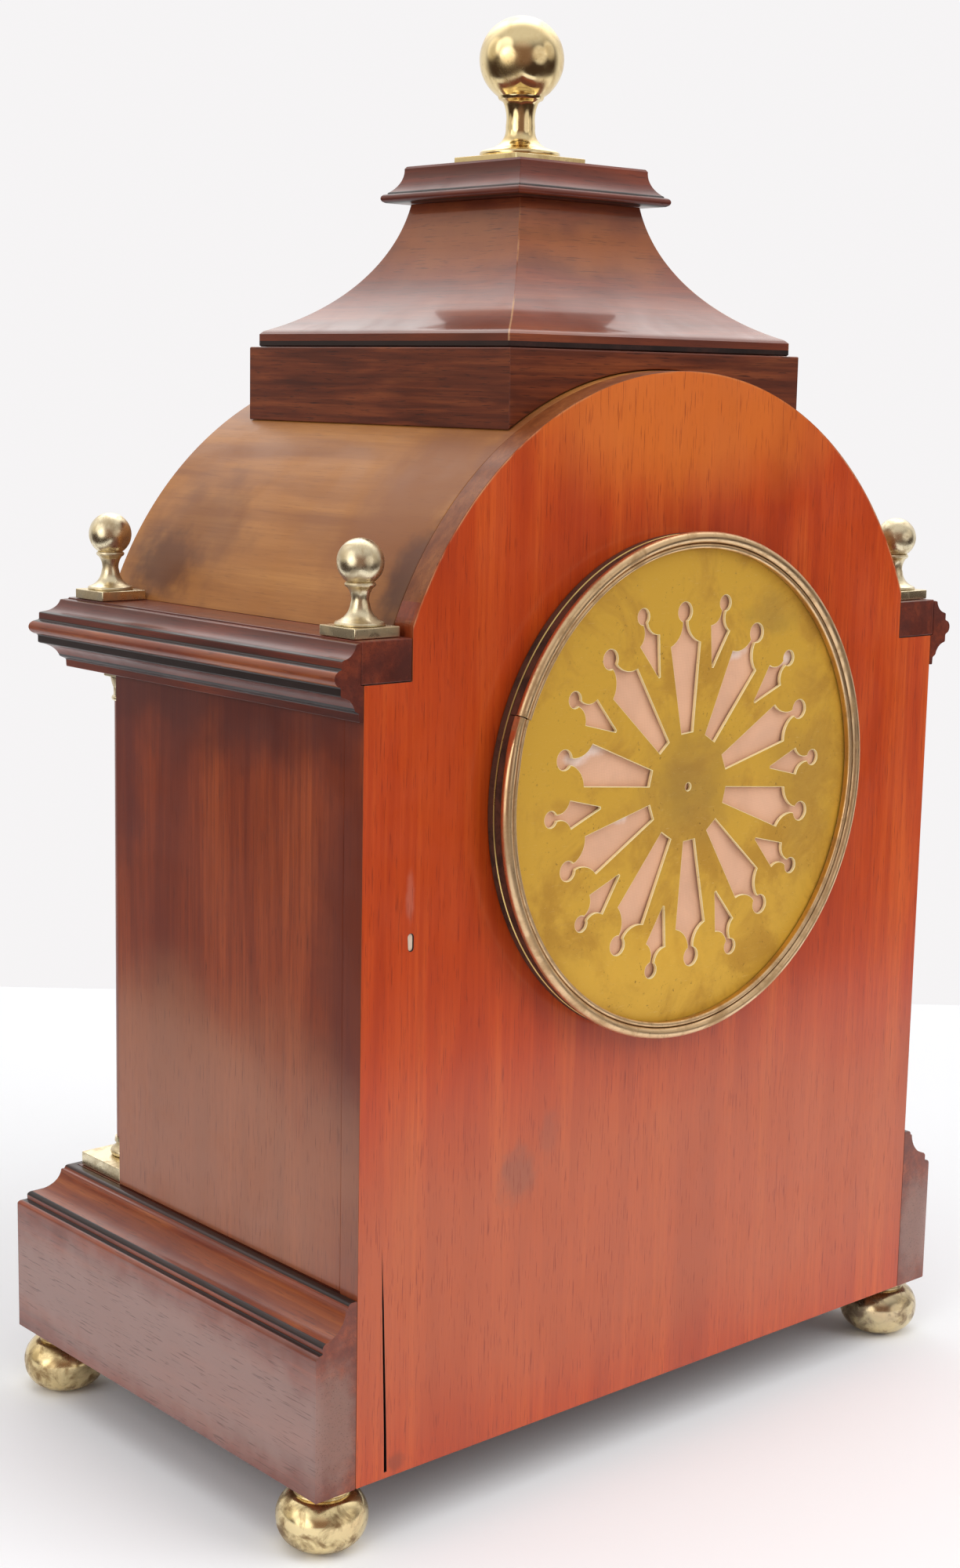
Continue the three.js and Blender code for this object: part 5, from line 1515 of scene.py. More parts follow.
@dataclass
class ShouldersAndVault:
    """Shoulder boards, cornices and the barrel vault."""

    datum: Datum
    finishes: Finishes
    shoulder_underside: float = 228.0
    shoulder_top: float = 239.65
    overhang: float = 1.0
    shown_width: float = 17.5
    full_width: float = 23.0
    panel_thickness: float = 8.1
    cornice_top: float = 239.25
    cornice_height: float = 21.2
    return_end: float = 102.3
    vault_front: float = 1.4

    def build(self) -> None:
        """Builds both shoulders, both cornices and the vault."""
        for name, side in SIDES:
            self.shoulder(name, side)
            self.cornice(name, side)
        self.vault()

    def shoulder(self, name: str, side: int) -> None:
        """One shoulder board, let into the back panel."""
        edge = self.datum.body_half + self.overhang
        back, front = self.datum.back, self.datum.front - self.overhang
        inner_back = back - self.panel_thickness
        outline = [
            (edge - self.full_width, front), (edge, front), (edge, back),
            (edge - self.shown_width, back), (edge - self.shown_width, inner_back),
            (edge - self.full_width, inner_back),
        ]
        outline = outline if side > 0 else mirrored(outline)
        low = self.datum.base + self.shoulder_underside
        high = self.datum.base + self.shoulder_top
        board = plan_board(f"shoulder_board_{name}", eased(outline, 0.4), low, high, 0.4)
        show(board, [self.finishes.dark.along_y], [f"shoulder_{name}"])

    def cornice(self, name: str, side: int) -> None:
        """One cornice with its mitred return across the front."""
        top = self.datum.base + self.cornice_top
        bottom = top - self.cornice_height
        behind = self.overhang + GLUE
        shelf = self.datum.base + self.shoulder_underside - GLUE
        outline = [
            (GLUE, bottom), (1.5, bottom), (1.6, bottom + 2.4),
            *arc_through((3.0, top - 18.0), (4.5, top - 15.4), (7.3, top - 14.1), 8),
            (7.8, top - 13.8), (7.8, top - 11.7),
            *arc_through((8.1, top - 11.3), (9.9, top - 9.1), (8.3, top - 7.0), 9),
            (7.5, top - 6.7), (7.5, top - 4.5),
            *arc_through((6.3, top - 4.1), (4.1, top - 2.9), (2.7, top - 0.3), 8),
            (behind, top), (behind, shelf), (GLUE, shelf),
        ]
        stations = (
            ((side * self.datum.body_half, self.datum.back), (side, 0.0)),
            ((side * self.datum.body_half, self.datum.front), (side, -1.0)),
            ((side * self.return_end, self.datum.front), (0.0, -1.0)),
        )
        # Finish 4 paints shade into the grooves and fillets; finish 2 gives the bead worn polish
        # with painted highlight.
        streaks = (
            (top - 4.7, top - 4.0, 5.0, 4), (top - 7.2, top - 6.4, 5.0, 4),
            (top - 11.3, top - 7.2, 7.9, 2), (top - 14.2, top - 11.3, 6.0, 4),
            (top - 18.9, top - 17.4, 1.5, 4),
        )
        run = moulding(f"cornice_{name}_run", eased(outline, 0.35), stations, streaks)
        used = [*self.finishes.dark, *self.finishes.worn_and_highlit, self.finishes.painted_shade]
        shown = show(run, used, [f"cornice_{name}"])
        corner = (self.datum.front + 0.5) * MM
        for polygon in shown.data.polygons:
            if polygon.material_index < 4 and polygon.center.y >= corner:
                polygon.material_index += 1

    def vault(self) -> None:
        """The thin bent board over the arch."""
        springing = self.datum.base + self.shoulder_top + GLUE
        centre = (0.0, self.datum.arch_centre)
        rise = springing - centre[1]

        def bow(radius: float) -> Loop:
            """Arch at a radius, from the right springing to the left one."""
            angle = math.degrees(math.asin(rise / radius))
            return arc(centre, radius, angle, 180 - angle, 110)

        outer = bow(self.datum.arch_radius)
        inner = bow(self.datum.arch_radius - self.datum.vault_thickness)
        outline = [*outer, *reversed(inner)]
        near = self.datum.front - self.vault_front
        far = self.datum.back - self.panel_thickness
        board = plate("vault_board", outline, near, far, ease=0.35)
        show(board, [self.finishes.vault], ["vault_roof"])


@dataclass
class Caddy:
    """Box, concave roof and moulded cap."""

    datum: Datum
    finishes: Finishes
    box_half: float = 60.7
    box_extra: float = 1.3
    roof_extra: float = 0.4
    scribe_radius: float = 112.2
    box_top: float = 317.45
    roof_foot: float = 58.9
    roof_neck: float = 25.1
    roof_bottom: float = 317.55
    roof_top: float = 362.15
    cap_half: float = 32.0
    cap_bottom: float = 362.25
    ease: float = 0.35

    def centre(self) -> Point:
        """Middle of the caddy in plan."""
        return (0.0, (self.datum.back + self.datum.front) / 2)

    def build(self) -> None:
        """Builds the three pieces."""
        self.box()
        self.roof()
        self.cap()

    def box(self) -> None:
        """The box, scribed to the vault."""
        half, deep = self.box_half, self.box_half + self.box_extra
        middle = self.centre()[1]
        top = self.datum.base + self.box_top
        angle = math.degrees(math.acos(half / self.scribe_radius))
        scribe = arc((0, self.datum.arch_centre), self.scribe_radius, 180 - angle, angle, 48)
        outline = [*scribe, (half, top), (-half, top)]
        block = plate("caddy_block", eased(outline, 0.5), middle - deep, middle + deep, ease=0.45)
        finish_by_facing(show(block, self.finishes.box, ["caddy_box"]))

    def four_sided(
        self, name: str, levels: Loop, streaks: Sequence[Streak], wood: TwoWays, node: str
    ) -> None:
        """Builds a square piece whose four boards have their own grain.

        Args:
            name: Name of the piece.
            levels: Half width and height of each level.
            streaks: Stretches painted near-black as shade.
            wood: Finish of the boards.
            node: CAD node that it stands for.
        """
        block = square_stack(name, levels, self.roof_extra, self.centre(), self.ease, streaks)
        shown = show(block, [*wood, self.finishes.painted_shade], [node])
        finish_by_facing(shown)

    def roof(self) -> None:
        """The concave roof with a fillet at its foot."""
        base = self.datum.base
        bottom, top = base + self.roof_bottom, base + self.roof_top
        foot = self.roof_foot
        levels = [
            (foot - 0.4, bottom), (foot, bottom + 0.4), (foot, bottom + 1.8),
            (foot, bottom + 3.9), (foot - 0.5, bottom + 4.4),
            *arc_through(
                (foot - 1.0, bottom + 4.9), (self.roof_neck + 10.6, top - 23.3),
                (self.roof_neck, top),
                40,
            ),
        ]
        # A near-black band at the roof's foot: painted shade at its joint with the box.
        streaks = ((bottom - 0.1, bottom + 1.2, 0.0, 2),)
        self.four_sided("caddy_roof_block", levels, streaks, self.finishes.roof, "caddy_roof")

    def cap(self) -> None:
        """The moulded cap under the top finial."""
        bottom = self.datum.base + self.cap_bottom
        edge = self.cap_half - 0.7
        bead = ((edge, bottom + 0.4), (self.cap_half, bottom + 1.6), (edge, bottom + 2.7))
        cove = (
            (self.cap_half - 2.0, bottom + 3.5), (self.cap_half - 4.4, bottom + 6.4),
            (self.cap_half - 5.3, bottom + 10.6),
        )
        levels = [
            (self.cap_half - 3.0, bottom), (self.cap_half - 1.2, bottom + 0.15),
            *arc_through(*bead, 8),
            (self.cap_half - 1.5, bottom + 2.9), (self.cap_half - 1.7, bottom + 3.3),
            *arc_through(*cove, 10),
            (self.cap_half - 5.8, bottom + 11.3),
        ]
        # Near-black bands under the bead and at the foot: painted shade.
        streaks = ((bottom + 2.7, bottom + 3.4, 0.0, 2), (bottom - 0.1, bottom + 0.3, 0.0, 2))
        self.four_sided("caddy_cap_block", levels, streaks, self.finishes.dark, "caddy_cap")


# --- Brass on the case ---


@dataclass
class TurnedBrass:
    """Finials, feet and columns."""

    datum: Datum
    finishes: Finishes
    top_ball: float = 13.1
    top_height: float = 45.4
    top_plate: float = 14.5
    corner_ball: float = 6.5
    corner_height: float = 26.4
    corner_plate: float = 7.8
    foot_radius: float = 13.3
    foot_height: float = 19.5
    block_half: float = 11.2
    block_height: float = 4.4
    torus: float = 6.2
    shaft_foot: float = 4.2
    shaft_neck: float = 3.9
    abacus_half: float = 5.2
    plate_height: float = 2.9
    segments: int = 72

    def build(self) -> None:
        """Builds the finials, the feet and the columns."""
        self.top_finial()
        for name, _ in SIDES:
            for end in ("front", "back"):
                self.corner_finial(f"finial_{end}_{name}")
                self.foot(f"foot_{end}_{name}")
            self.column(name)

    @staticmethod
    def foot_of(node: str) -> Place:
        """Middle of the underside of a CAD node."""
        low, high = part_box(node)
        return ((low.x + high.x) / 2 / MM, (low.y + high.y) / 2 / MM, low.z / MM)

    @staticmethod
    def square_plate(half: float, height: float, at: Place) -> Piece:
        """A square plate that stands on a point."""
        corners = rectangle((at[0] - half, at[1] - half), (at[0] + half, at[1] + half))
        return plan_board("square_plate", eased(corners, 0.4), at[2], at[2] + height, 0.3)

    def top_finial(self) -> None:
        """The large ball on a waisted stem."""
        at = self.foot_of("top_finial")
        ball = self.top_height - self.top_ball
        profile = [
            (0.0, 3.0), (12.2, 3.0),
            *arc_through((12.4, 3.3), (12.5, 4.2), (11.9, 4.8), 4),
            (10.8, 5.2),
            *arc_through((9.4, 5.6), (6.0, 7.6), (4.6, 12.2), 10),
            *arc_through((4.5, 13.4), (4.6, 16.6), (5.4, 19.4), 6),
            (5.9, 19.9),
            *arc_through((6.8, 20.3), (7.2, 21.6), (6.7, 22.7), 5),
            (6.2, 22.9),
            *arc((0.0, ball), self.top_ball, -62, 90, 34),
        ]
        piece = turned("top_ball_finial", profile, 96, at)
        piece.join(self.square_plate(self.top_plate, self.plate_height, at))
        show(piece, [self.finishes.polished], ["top_finial"])

    def corner_finial(self, node: str) -> None:
        """A small ball finial on a shoulder."""
        at = self.foot_of(node)
        ball = self.corner_height - self.corner_ball
        profile = [
            (0.0, 3.0), (6.9, 3.0), (7.0, 3.4),
            *arc_through((6.7, 3.9), (4.0, 5.6), (2.7, 8.6), 8),
            *arc_through((2.45, 9.6), (2.7, 11.4), (3.5, 13.0), 5),
            (4.1, 13.4), (4.3, 13.9), (4.1, 14.4), (3.5, 14.7),
            *arc((0.0, ball), self.corner_ball, -58, 90, 22),
        ]
        piece = turned(f"{node}_ball", profile, 56, at)
        piece.join(self.square_plate(self.corner_plate, self.plate_height, at))
        show(piece, [self.finishes.dull], [node])

    def foot(self, node: str) -> None:
        """A turned bun foot."""
        at = self.foot_of(node)
        r, top = self.foot_radius, self.foot_height
        profile = [
            (0.0, 0.0), (r * 0.4, 0.0), (r * 0.44, 0.25),
            *arc_through((r * 0.62, 1.0), (r * 0.9, 4.3), (r * 0.995, 8.2), 9),
            *arc_through((r, top - 10.3), (r * 0.93, top - 6.3), (r * 0.7, top - 3.1), 9),
            (r * 0.62, top - 2.8),
            *arc_through((r * 0.6, top - 2.3), (r * 0.66, top - 1.4), (r * 0.6, top - 0.6), 5),
            (r * 0.56, top - GLUE), (0.0, top - GLUE),
        ]
        piece = turned(f"{node}_bun", profile, self.segments, at)
        show(piece, [self.finishes.foot], [node])

    def column(self, name: str) -> None:
        """A mahogany column with a brass base and capital."""
        self.column_base(f"column_base_{name}")
        self.column_shaft(f"column_shaft_{name}")
        self.column_capital(f"column_capital_{name}")

    def column_base(self, node: str) -> None:
        """Square block, torus and scotia."""
        block, torus, foot = self.block_height, self.torus, self.shaft_foot
        at = self.foot_of(node)
        ring = ((torus - 0.5, block + 0.2), (torus, block + 1.3), (torus - 0.6, block + 2.5))
        neck = torus - 1.3
        hollow = ((neck - 0.1, block + 3.1), (neck - 0.5, block + 3.9), (neck, block + 4.6))
        profile = [
            (0.0, block + 0.1), (torus - 0.7, block + 0.1),
            *arc_through(*ring, 8),
            (torus - 1.2, block + 2.8),
            *arc_through(*hollow, 5),
            (foot + 0.7, block + 5.0), (foot + 0.5, block + 6.0), (0.0, block + 6.0),
        ]
        base = turned(f"{node}_turning", profile, self.segments, at)
        base.join(self.square_plate(self.block_half, block, at))
        show(base, [self.finishes.dull], [node])

    def column_shaft(self, node: str) -> None:
        """Shaft that thins towards its neck."""
        low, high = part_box(node)
        length = (high.z - low.z) / MM
        thinning = self.shaft_foot - self.shaft_neck
        taper = [(self.shaft_foot - thinning * (t / 16) ** 1.8, length * t / 16) for t in range(17)]
        profile = [(0.0, 0.0), *taper, (0.0, length)]
        shaft = turned(f"{node}_turning", profile, self.segments, self.foot_of(node))
        show(shaft, [self.finishes.dark_upright], [node])

    def column_capital(self, node: str) -> None:
        """Astragal, necking, bell and square abacus."""
        at = self.foot_of(node)
        neck, cap = self.shaft_neck, self.abacus_half
        profile = [
            (0.0, 0.0), (neck + 0.3, 0.0),
            *arc_through((neck + 0.6, 0.15), (neck + 0.9, 0.8), (neck + 0.6, 1.5), 5),
            (neck + 0.3, 1.7), (neck + 0.3, 4.0),
            *arc_through((neck + 0.4, 4.3), (cap - 0.5, 5.6), (cap - 0.15, 7.2), 7),
            (0.0, 7.3),
        ]
        capital = turned(f"{node}_turning", profile, self.segments, at)
        capital.join(self.square_plate(cap, 2.5, (at[0], at[1], at[2] + 7.45)))
        show(capital, [self.finishes.dull], [node])


# --- Round doors ---


@dataclass
class RoundDoor:
    """Fixed ring, hinged rim and hinge, built facing out from a panel face."""

    datum: Datum
    finishes: Finishes
    facing: int
    flange: float
    ring_name: str
    rim_name: str
    body: Body
    flange_width: float = 5.0
    tube_wall: float = 1.6
    tube_depth: float = 12.85
    flange_face: float = 2.8
    joint: float = 3.1
    crest: float = 9.0
    wall: float = 3.0
    barrel: float = 1.6
    barrel_bore: float = 0.88
    web: float = 1.4
    hinge_offset: float = 2.7
    knuckle_half: float = 3.0
    hinge_half: float = 9.0
    segments: int = 160

    def panel_face(self) -> float:
        """Depth of the panel face that the ring is let into."""
        return self.datum.back if self.facing > 0 else self.datum.front

    def centre(self) -> Place:
        """Middle of the door on the panel face."""
        return (0.0, self.panel_face(), self.datum.door_centre)

    def revolve(self, name: str, profile: Loop, bands: Sequence[int] | None = None) -> Piece:
        """Turns a profile of radius and height off the panel face."""
        faced = [(r, h * self.facing) for r, h in profile]
        return turned(name, faced, self.segments, self.centre(), upright=False, bands=bands)

    def fixed_ring(self, materials: Sequence[Material], slot: Slot) -> None:
        """Builds the tube and flange and their two knuckles.

        Args:
            materials: Finish of the outer wall and of the rest.
            slot: Record slot. Not used.
        """
        edge, face, depth = self.flange, self.flange_face, -self.tube_depth
        bore = edge - self.flange_width
        profile = [
            (bore, depth), (bore + self.tube_wall, depth), (bore + self.tube_wall, 0.3),
            (edge - 0.1, 0.3), (edge, 0.45), (edge, face - 0.25), (edge - 0.25, face),
            (bore + 0.2, face), (bore, face - 0.2), (bore, depth),
        ]
        bands = (1, 1, 0, 0, 0, 1, 1, 1, 1)
        piece = self.revolve(f"{self.ring_name}_turning", profile, bands)
        gap = self.knuckle_half + 0.3
        for low, high in ((-self.hinge_half, -gap), (gap, self.hinge_half)):
            piece.join(self.knuckle(low, high, face - self.web, face))
        show(piece, materials, [self.ring_name])

    def bead_and_lip(self) -> tuple[Loop, Loop]:
        """The bead round the outside of the rim and the finer lip round its inside.

        Returns:
            Their profiles, as radius and height off the panel face.
        """
        inner = self.flange - self.wall
        bead = arc((self.flange - 0.9, self.crest - 1.7), 1.7, -38, 158, 14)
        lip = arc((inner - 0.4, self.crest - 1.65), 0.85, 10, 205, 9)
        return bead, lip

    def rim_knuckle(self) -> Piece:
        """The middle knuckle, which swings with the rim."""
        half = self.knuckle_half
        return self.knuckle(-half, half, self.joint, self.joint + self.web)

    def knuckle(self, low: float, high: float, web_near: float, web_far: float) -> Piece:
        """One hinge knuckle with the web that joins it to its ring."""
        x0, y0, z0 = self.centre()
        axis = -(self.flange + self.hinge_offset) * self.facing
        depth = y0 + (self.joint - 0.15) * self.facing
        bore, outer = self.barrel_bore, self.barrel
        profile = [
            (bore, low), (outer - 0.2, low), (outer, low + 0.2), (outer, high - 0.2),
            (outer - 0.2, high), (bore, high), (bore, low),
        ]
        barrel = turned("knuckle", profile, 24, (x0 + axis, depth, z0))
        near, far = y0 + web_near * self.facing, y0 + web_far * self.facing
        start = axis + 0.9 * self.facing
        end = -(self.flange - self.wall / 2) * self.facing
        outline = rectangle((min(start, end), z0 + low), (max(start, end), z0 + high))
        barrel.join(plate("web", outline, min(near, far), max(near, far), ease=0.1))
        return barrel


@dataclass
class RearDoor(RoundDoor):
    """Pierced door with a rolled rim that is butt-jointed on the left side."""

    seam_angle: float = 159.0
    seam_shift: float = 0.75
    slots: int = 10
    plate_outer: float = 72.3
    plate_face: float = 5.45
    plate_thickness: float = 1.15
    lining_face: float = 4.1
    lining_thickness: float = 0.18
    lining_wave: float = 0.22

    def build(self) -> None:
        """Builds ring, rim, plate and lining, and dresses the pin."""
        finishes = self.finishes
        self.fixed_ring([finishes.ring_wall_tarnish_and_shade, finishes.movement], Slot.AGED_BRASS)
        self.rolled_rim()
        self.pierced_plate()
        self.lining()
        dress("rear_hinge_pin", finishes.bright_steel)

    def rolled_rim(self) -> None:
        """Wall, bead, groove and lip, rolled from strip and butted at the seam."""
        edge, crest, inner = self.flange, self.crest, self.flange - self.wall
        bead, lip = self.bead_and_lip()
        profile = [
            (inner, self.joint), (edge - 0.2, self.joint), (edge, self.joint + 0.2),
            (edge, crest - 3.6), (edge + 0.15, crest - 3.0),
            *bead,
            (inner + 0.75, crest - 1.9),
            *lip,
            (inner - 1.1, crest - 2.6), (inner - 1.1, crest - 3.2), (inner, crest - 3.2),
        ]
        bands = [0] * 5 + [1] * (len(bead) + 2 + len(lip)) + [0] * 3
        piece = Piece(f"{self.rim_name}_rolled")
        x0, y0, z0 = self.centre()
        steps = self.segments
        rows: list[int] = []
        for i in range(steps + 1):
            turn = self.seam_angle + 0.12 + (360 - 0.24) * i / steps
            angle = math.radians(turn)
            left = max(0.0, 1 - i / 6)
            shift = self.seam_shift * left * left * (3 - 2 * left)
            rows.append(len(piece.corners))
            for r, h in profile:
                grown = min(r + shift * (1 if h > crest - 4 else 0.3), edge + 0.85)
                across, up = grown * math.cos(angle), grown * math.sin(angle)
                piece.corners.append((x0 - across, y0 + h, z0 + up))
        piece.run(rows, profile, bands)
        piece.join(self.rim_knuckle())
        finishes = [self.finishes.ring_wall_tarnish_and_shade, self.finishes.ring_bead]
        show(piece, finishes, [self.rim_name], self.body)

    def piercing(self, long: bool, angle: float) -> Loop:
        """One piercing that points outwards.

        Args:
            long: A long slot, or else a short one.
            angle: Direction from the centre, anticlockwise as seen from behind.

        Returns:
            Its outline in X and Z about the door's centre.
        """
        if long:
            foot, shoulder, neck, ball = (16.5, 2.4), (43.0, 6.2), (48.9, 1.0), (52.8, 2.95)
        else:
            foot, shoulder, neck, ball = (36.6, 0.25), (48.4, 4.1), (53.7, 0.8), (56.2, 2.4)
        hollow = ((shoulder[0] + neck[0]) / 2 - 0.5, (shoulder[1] + neck[1]) / 2 - 1.0)
        flank = arc_through(shoulder, hollow, neck, 6)
        opening = math.degrees(math.asin(neck[1] / ball[1]))
        head = arc((ball[0], 0.0), ball[1], 180 - opening, -180 + opening, 20)
        side = [foot, *flank]
        outline = [*side, *head, *[(r, -w) for r, w in reversed(side)]]
        cos, sin = math.cos(math.radians(angle)), math.sin(math.radians(angle))
        x0, _, z0 = self.centre()
        return [(x0 - (r * cos - w * sin), z0 + r * sin + w * cos) for r, w in outline]

    def pierced_plate(self) -> None:
        """The flat plate with its ring of piercings and small centre hole."""
        x0, y0, z0 = self.centre()
        step = 360 / self.slots
        holes = [ring_of((x0, z0), 1.2, 20)]
        for i in range(self.slots):
            holes.append(self.piercing(True, 94 - i * step))
            holes.append(self.piercing(False, 76 - i * step))
        outline = ring_of((x0, z0), self.plate_outer, self.segments)
        near = y0 + self.plate_face
        far = near - self.plate_thickness
        piece = plate("rear_pierced_plate", outline, near, far, holes, ease=0.2, edge_finish=1)
        finishes = [self.finishes.plate, self.finishes.cut_edge_highlight]
        show(piece, finishes, ["rear_door_plate"], self.body)

    def lining(self) -> None:
        """Thin silk stretched behind the piercings, a little wavy."""
        x0, y0, z0 = self.centre()
        radius = self.plate_outer - 0.9
        piece = Piece("rear_silk_lining", sharp_angle=180)
        rings, spokes = 40, 96
        for layer in (0.0, -self.lining_thickness):
            start = len(piece.corners)
            piece.corners.append((x0, y0 + self.lining_face + layer, z0))
            for i in range(1, rings + 1):
                for k in range(spokes):
                    r = radius * i / rings
                    a = 2 * math.pi * k / spokes
                    x, z = r * math.cos(a), r * math.sin(a)
                    wave = math.sin(x * 0.21 + z * 0.13) * math.sin(z * 0.17 - x * 0.08)
                    pull = min(1.0, (rings - i) / 6)
                    depth = self.lining_face + layer - self.lining_wave * (1 + wave) * pull
                    piece.corners.append((x0 + x, y0 + depth, z0 + z))
            for k in range(spokes):
                piece.face((start, start + 1 + k, start + 1 + (k + 1) % spokes))
            for i in range(rings - 1):
                first = start + 1 + i * spokes
                piece.bridge(first, first + spokes, spokes, closed=True)
        edge = 1 + (rings - 1) * spokes
        piece.bridge(edge, edge + 1 + rings * spokes, spokes, closed=True)
        silk, node = [self.finishes.silk], "rear_door_lining"
        shown = show(piece, silk, [node], self.body)


@dataclass
class FrontDoor(RoundDoor):
    """Glazed door over the dial."""

    seat: float = 5.45
    glass_thickness: float = 1.9
    bevel: float = 6.0

    def build(self) -> None:
        """Builds ring, rim and glass, and dresses the pin."""
        finishes = self.finishes
        self.fixed_ring([finishes.polished, finishes.polished], Slot.POLISHED_BRASS)
        self.rim()
        self.glass()
        dress("front_hinge_pin", finishes.bright_steel)

    def rim(self) -> None:
        """The cast rim with its bead and inner lip."""
        edge, crest, inner = self.flange, self.crest, self.flange - self.wall
        bead, lip = self.bead_and_lip()
        profile = [
            (inner, self.joint), (edge - 0.2, self.joint), (edge, self.joint + 0.2),
            (edge, crest - 3.4),
            *bead,
            (inner + 0.75, crest - 1.9),
            *lip,
            (inner - 1.1, crest - 3.2), (inner, crest - 3.2), (inner, self.joint),
        ]
        piece = self.revolve(f"{self.rim_name}_turning", profile)
        piece.join(self.rim_knuckle())
        polished = [self.finishes.polished]
        show(piece, polished, [self.rim_name], self.body)

    def glass(self) -> None:
        """Bevelled plate glass."""
        edge = self.flange - self.wall - 0.3
        back = self.seat - self.glass_thickness / 2
        profile = [
            (0.0, back), (edge - 0.1, back), (edge, back + 0.1), (edge, self.seat - 0.3),
            (edge - self.bevel, back + self.glass_thickness), (0.0, back + self.glass_thickness),
        ]
        piece = self.revolve("front_bevelled_glass", profile)
        show(piece, [self.finishes.glass], ["front_glass"], self.body)


# --- Dial and movement ---


@dataclass
class Dial:
    """Silvered dial with waxed numerals, minute track and winding-hole collets."""

    datum: Datum
    finishes: Finishes
    face_depth: float = 6.35
    numeral_inner: float = 50.0
    numeral_outer: float = 63.5
    track_inner: float = 66.0
    track_outer: float = 69.2
    figure_height: float = 0.06
    sunk: float = 0.02
    line_half: float = 0.14
    winding_holes: tuple[Point, ...] = ((21.5, -22.0), (-21.5, -22.0))
    numerals: tuple[str, ...] = tuple("XII I II III IIII V VI VII VIII IX X XI".split())

    def build(self) -> None:
        """Builds the figures and dresses the dial and hands."""
        dress("dial", self.finishes.dial)
        dress("hour_hand", self.finishes.blued_steel)
        dress("minute_hand", self.finishes.blued_steel)
        show(self.figures(), [self.finishes.wax])
        for i, place in enumerate(self.winding_holes):
            self.collet(f"winding_collet_{i + 1}", place)

    def face(self) -> float:
        """Where the dial's face lies along Y."""
        return self.datum.front + self.face_depth

    def flat(self, outline: Loop, layer: float) -> Piece:
        """A thin figure on the dial's face, outline in X and Z about the dial's centre."""
        placed = [(x, z + self.datum.door_centre) for x, z in outline]
        near = self.face() - self.figure_height - layer
        return plate("figure", placed, near, self.face() + self.sunk, ease=0.01)

    def figures(self) -> Piece:
        """Numerals, minute track and minute strokes in one mesh.

        Returns:
            The piece.
        """
        piece = Piece("dial_figures", sharp_angle=20)
        top, sunk = self.face() - self.figure_height, self.face() + self.sunk
        for radius in (self.track_inner, self.track_outer):
            inner, outer = radius - self.line_half, radius + self.line_half
            profile = [(inner, sunk), (inner, top), (outer, top), (outer, sunk), (inner, sunk)]
            centre = (0.0, 0.0, self.datum.door_centre)
            piece.join(turned("circle", profile, 120, centre, upright=False))
        for minute in range(60):
            half = 0.55 if minute % 5 == 0 else 0.17
            stroke = rectangle((-half, self.track_inner), (half, self.track_outer))
            piece.join(self.flat(self.turned_to(stroke, minute * 6.0), 0.01))
        for hour, numeral in enumerate(self.numerals):
            for stroke in self.strokes(numeral):
                piece.join(self.flat(self.turned_to(stroke, hour * 30.0), 0.02))
        return piece

    @staticmethod
    def turned_to(outline: Loop, degrees: float) -> Loop:
        """Turns an outline clockwise about the dial's centre, as the dial is read."""
        angle = math.radians(-degrees)
        cos, sin = math.cos(angle), math.sin(angle)
        return [(x * cos - z * sin, x * sin + z * cos) for x, z in outline]

    def strokes(self, numeral: str) -> list[Loop]:
        """Strokes of a numeral that stands upright at the top of the dial.

        Args:
            numeral: Letters I, V and X.

        Returns:
            One outline for each stroke.
        """
        low, high = self.numeral_inner, self.numeral_outer
        widths = {"I": 3.4, "V": 7.6, "X": 7.6}
        squeeze = 0.82 if len(numeral) > 3 else 1.0
        total = sum(widths[letter] for letter in numeral) * squeeze
        left = -total / 2
        strokes: list[Loop] = []
        for letter in numeral:
            width = widths[letter] * squeeze
            middle, right = left + width / 2, left + width
            thick, thin = 1.75 * squeeze, 0.5
            if letter == "I":
                strokes.append(rectangle((middle - thick / 2, low), (middle + thick / 2, high)))
            elif letter == "V":
                strokes.append(self.slant(left + 1.3, high, middle, low, thick))
                strokes.append(self.slant(right - 1.1, high, middle + 0.2, low, thin))
            else:
                strokes.append(self.slant(left + 1.3, high, right - 1.3, low, thick))
                strokes.append(self.slant(right - 1.1, high, left + 1.1, low, thin))
            strokes.append(rectangle((left + 0.15, high - 0.45), (right - 0.15, high)))
            if letter != "V":
                strokes.append(rectangle((left + 0.15, low), (right - 0.15, low + 0.45)))
            left = right
        return strokes

    @staticmethod
    def slant(x0: float, z0: float, x1: float, z1: float, width: float) -> Loop:
        """A slanting stroke of a given width, cut level at both ends."""
        half = width / 2
        return [(x0 - half, z0), (x1 - half, z1), (x1 + half, z1), (x0 + half, z0)]

    def collet(self, name: str, place: Point) -> None:
        """Brass ring round a winding hole."""
        face = self.face()
        profile = [
            (4.25, face + 0.3), (4.25, face - 0.25), (4.6, face - 0.5), (5.2, face - 0.35),
            (5.5, face + 0.02), (4.25, face + 0.3),
        ]
        centre = (place[0], 0.0, self.datum.door_centre + place[1])
        ring = turned(name, profile, 40, centre, upright=False)
        show(ring, [self.finishes.polished])


@dataclass
class Movement:
    """The round-plate movement, whose CAD nodes keep their shape."""

    finishes: Finishes

    def build(self) -> None:
        """Dresses every wheel, plate and lever."""
        finishes = self.finishes
        dressed = {
            finishes.movement: (
                "movement_front_plate movement_back_plate going_barrel strike_barrel "
                "intermediate_wheel centre_wheel third_wheel escape_wheel suspension_cock"
            ),
            finishes.bright_steel: "going_arbor strike_arbor anchor hammer",
            finishes.polished: "pendulum",
            finishes.bell: "bell",
        }
        for material, nodes in dressed.items():
            for node in nodes.split():
                dress(node, material)


# --- Studio ---


@dataclass(frozen=True)
class Glow:
    """A soft bright part of the room, as gloss sees it."""

    towards: Place
    edge: float
    core: float
    colour: Colour


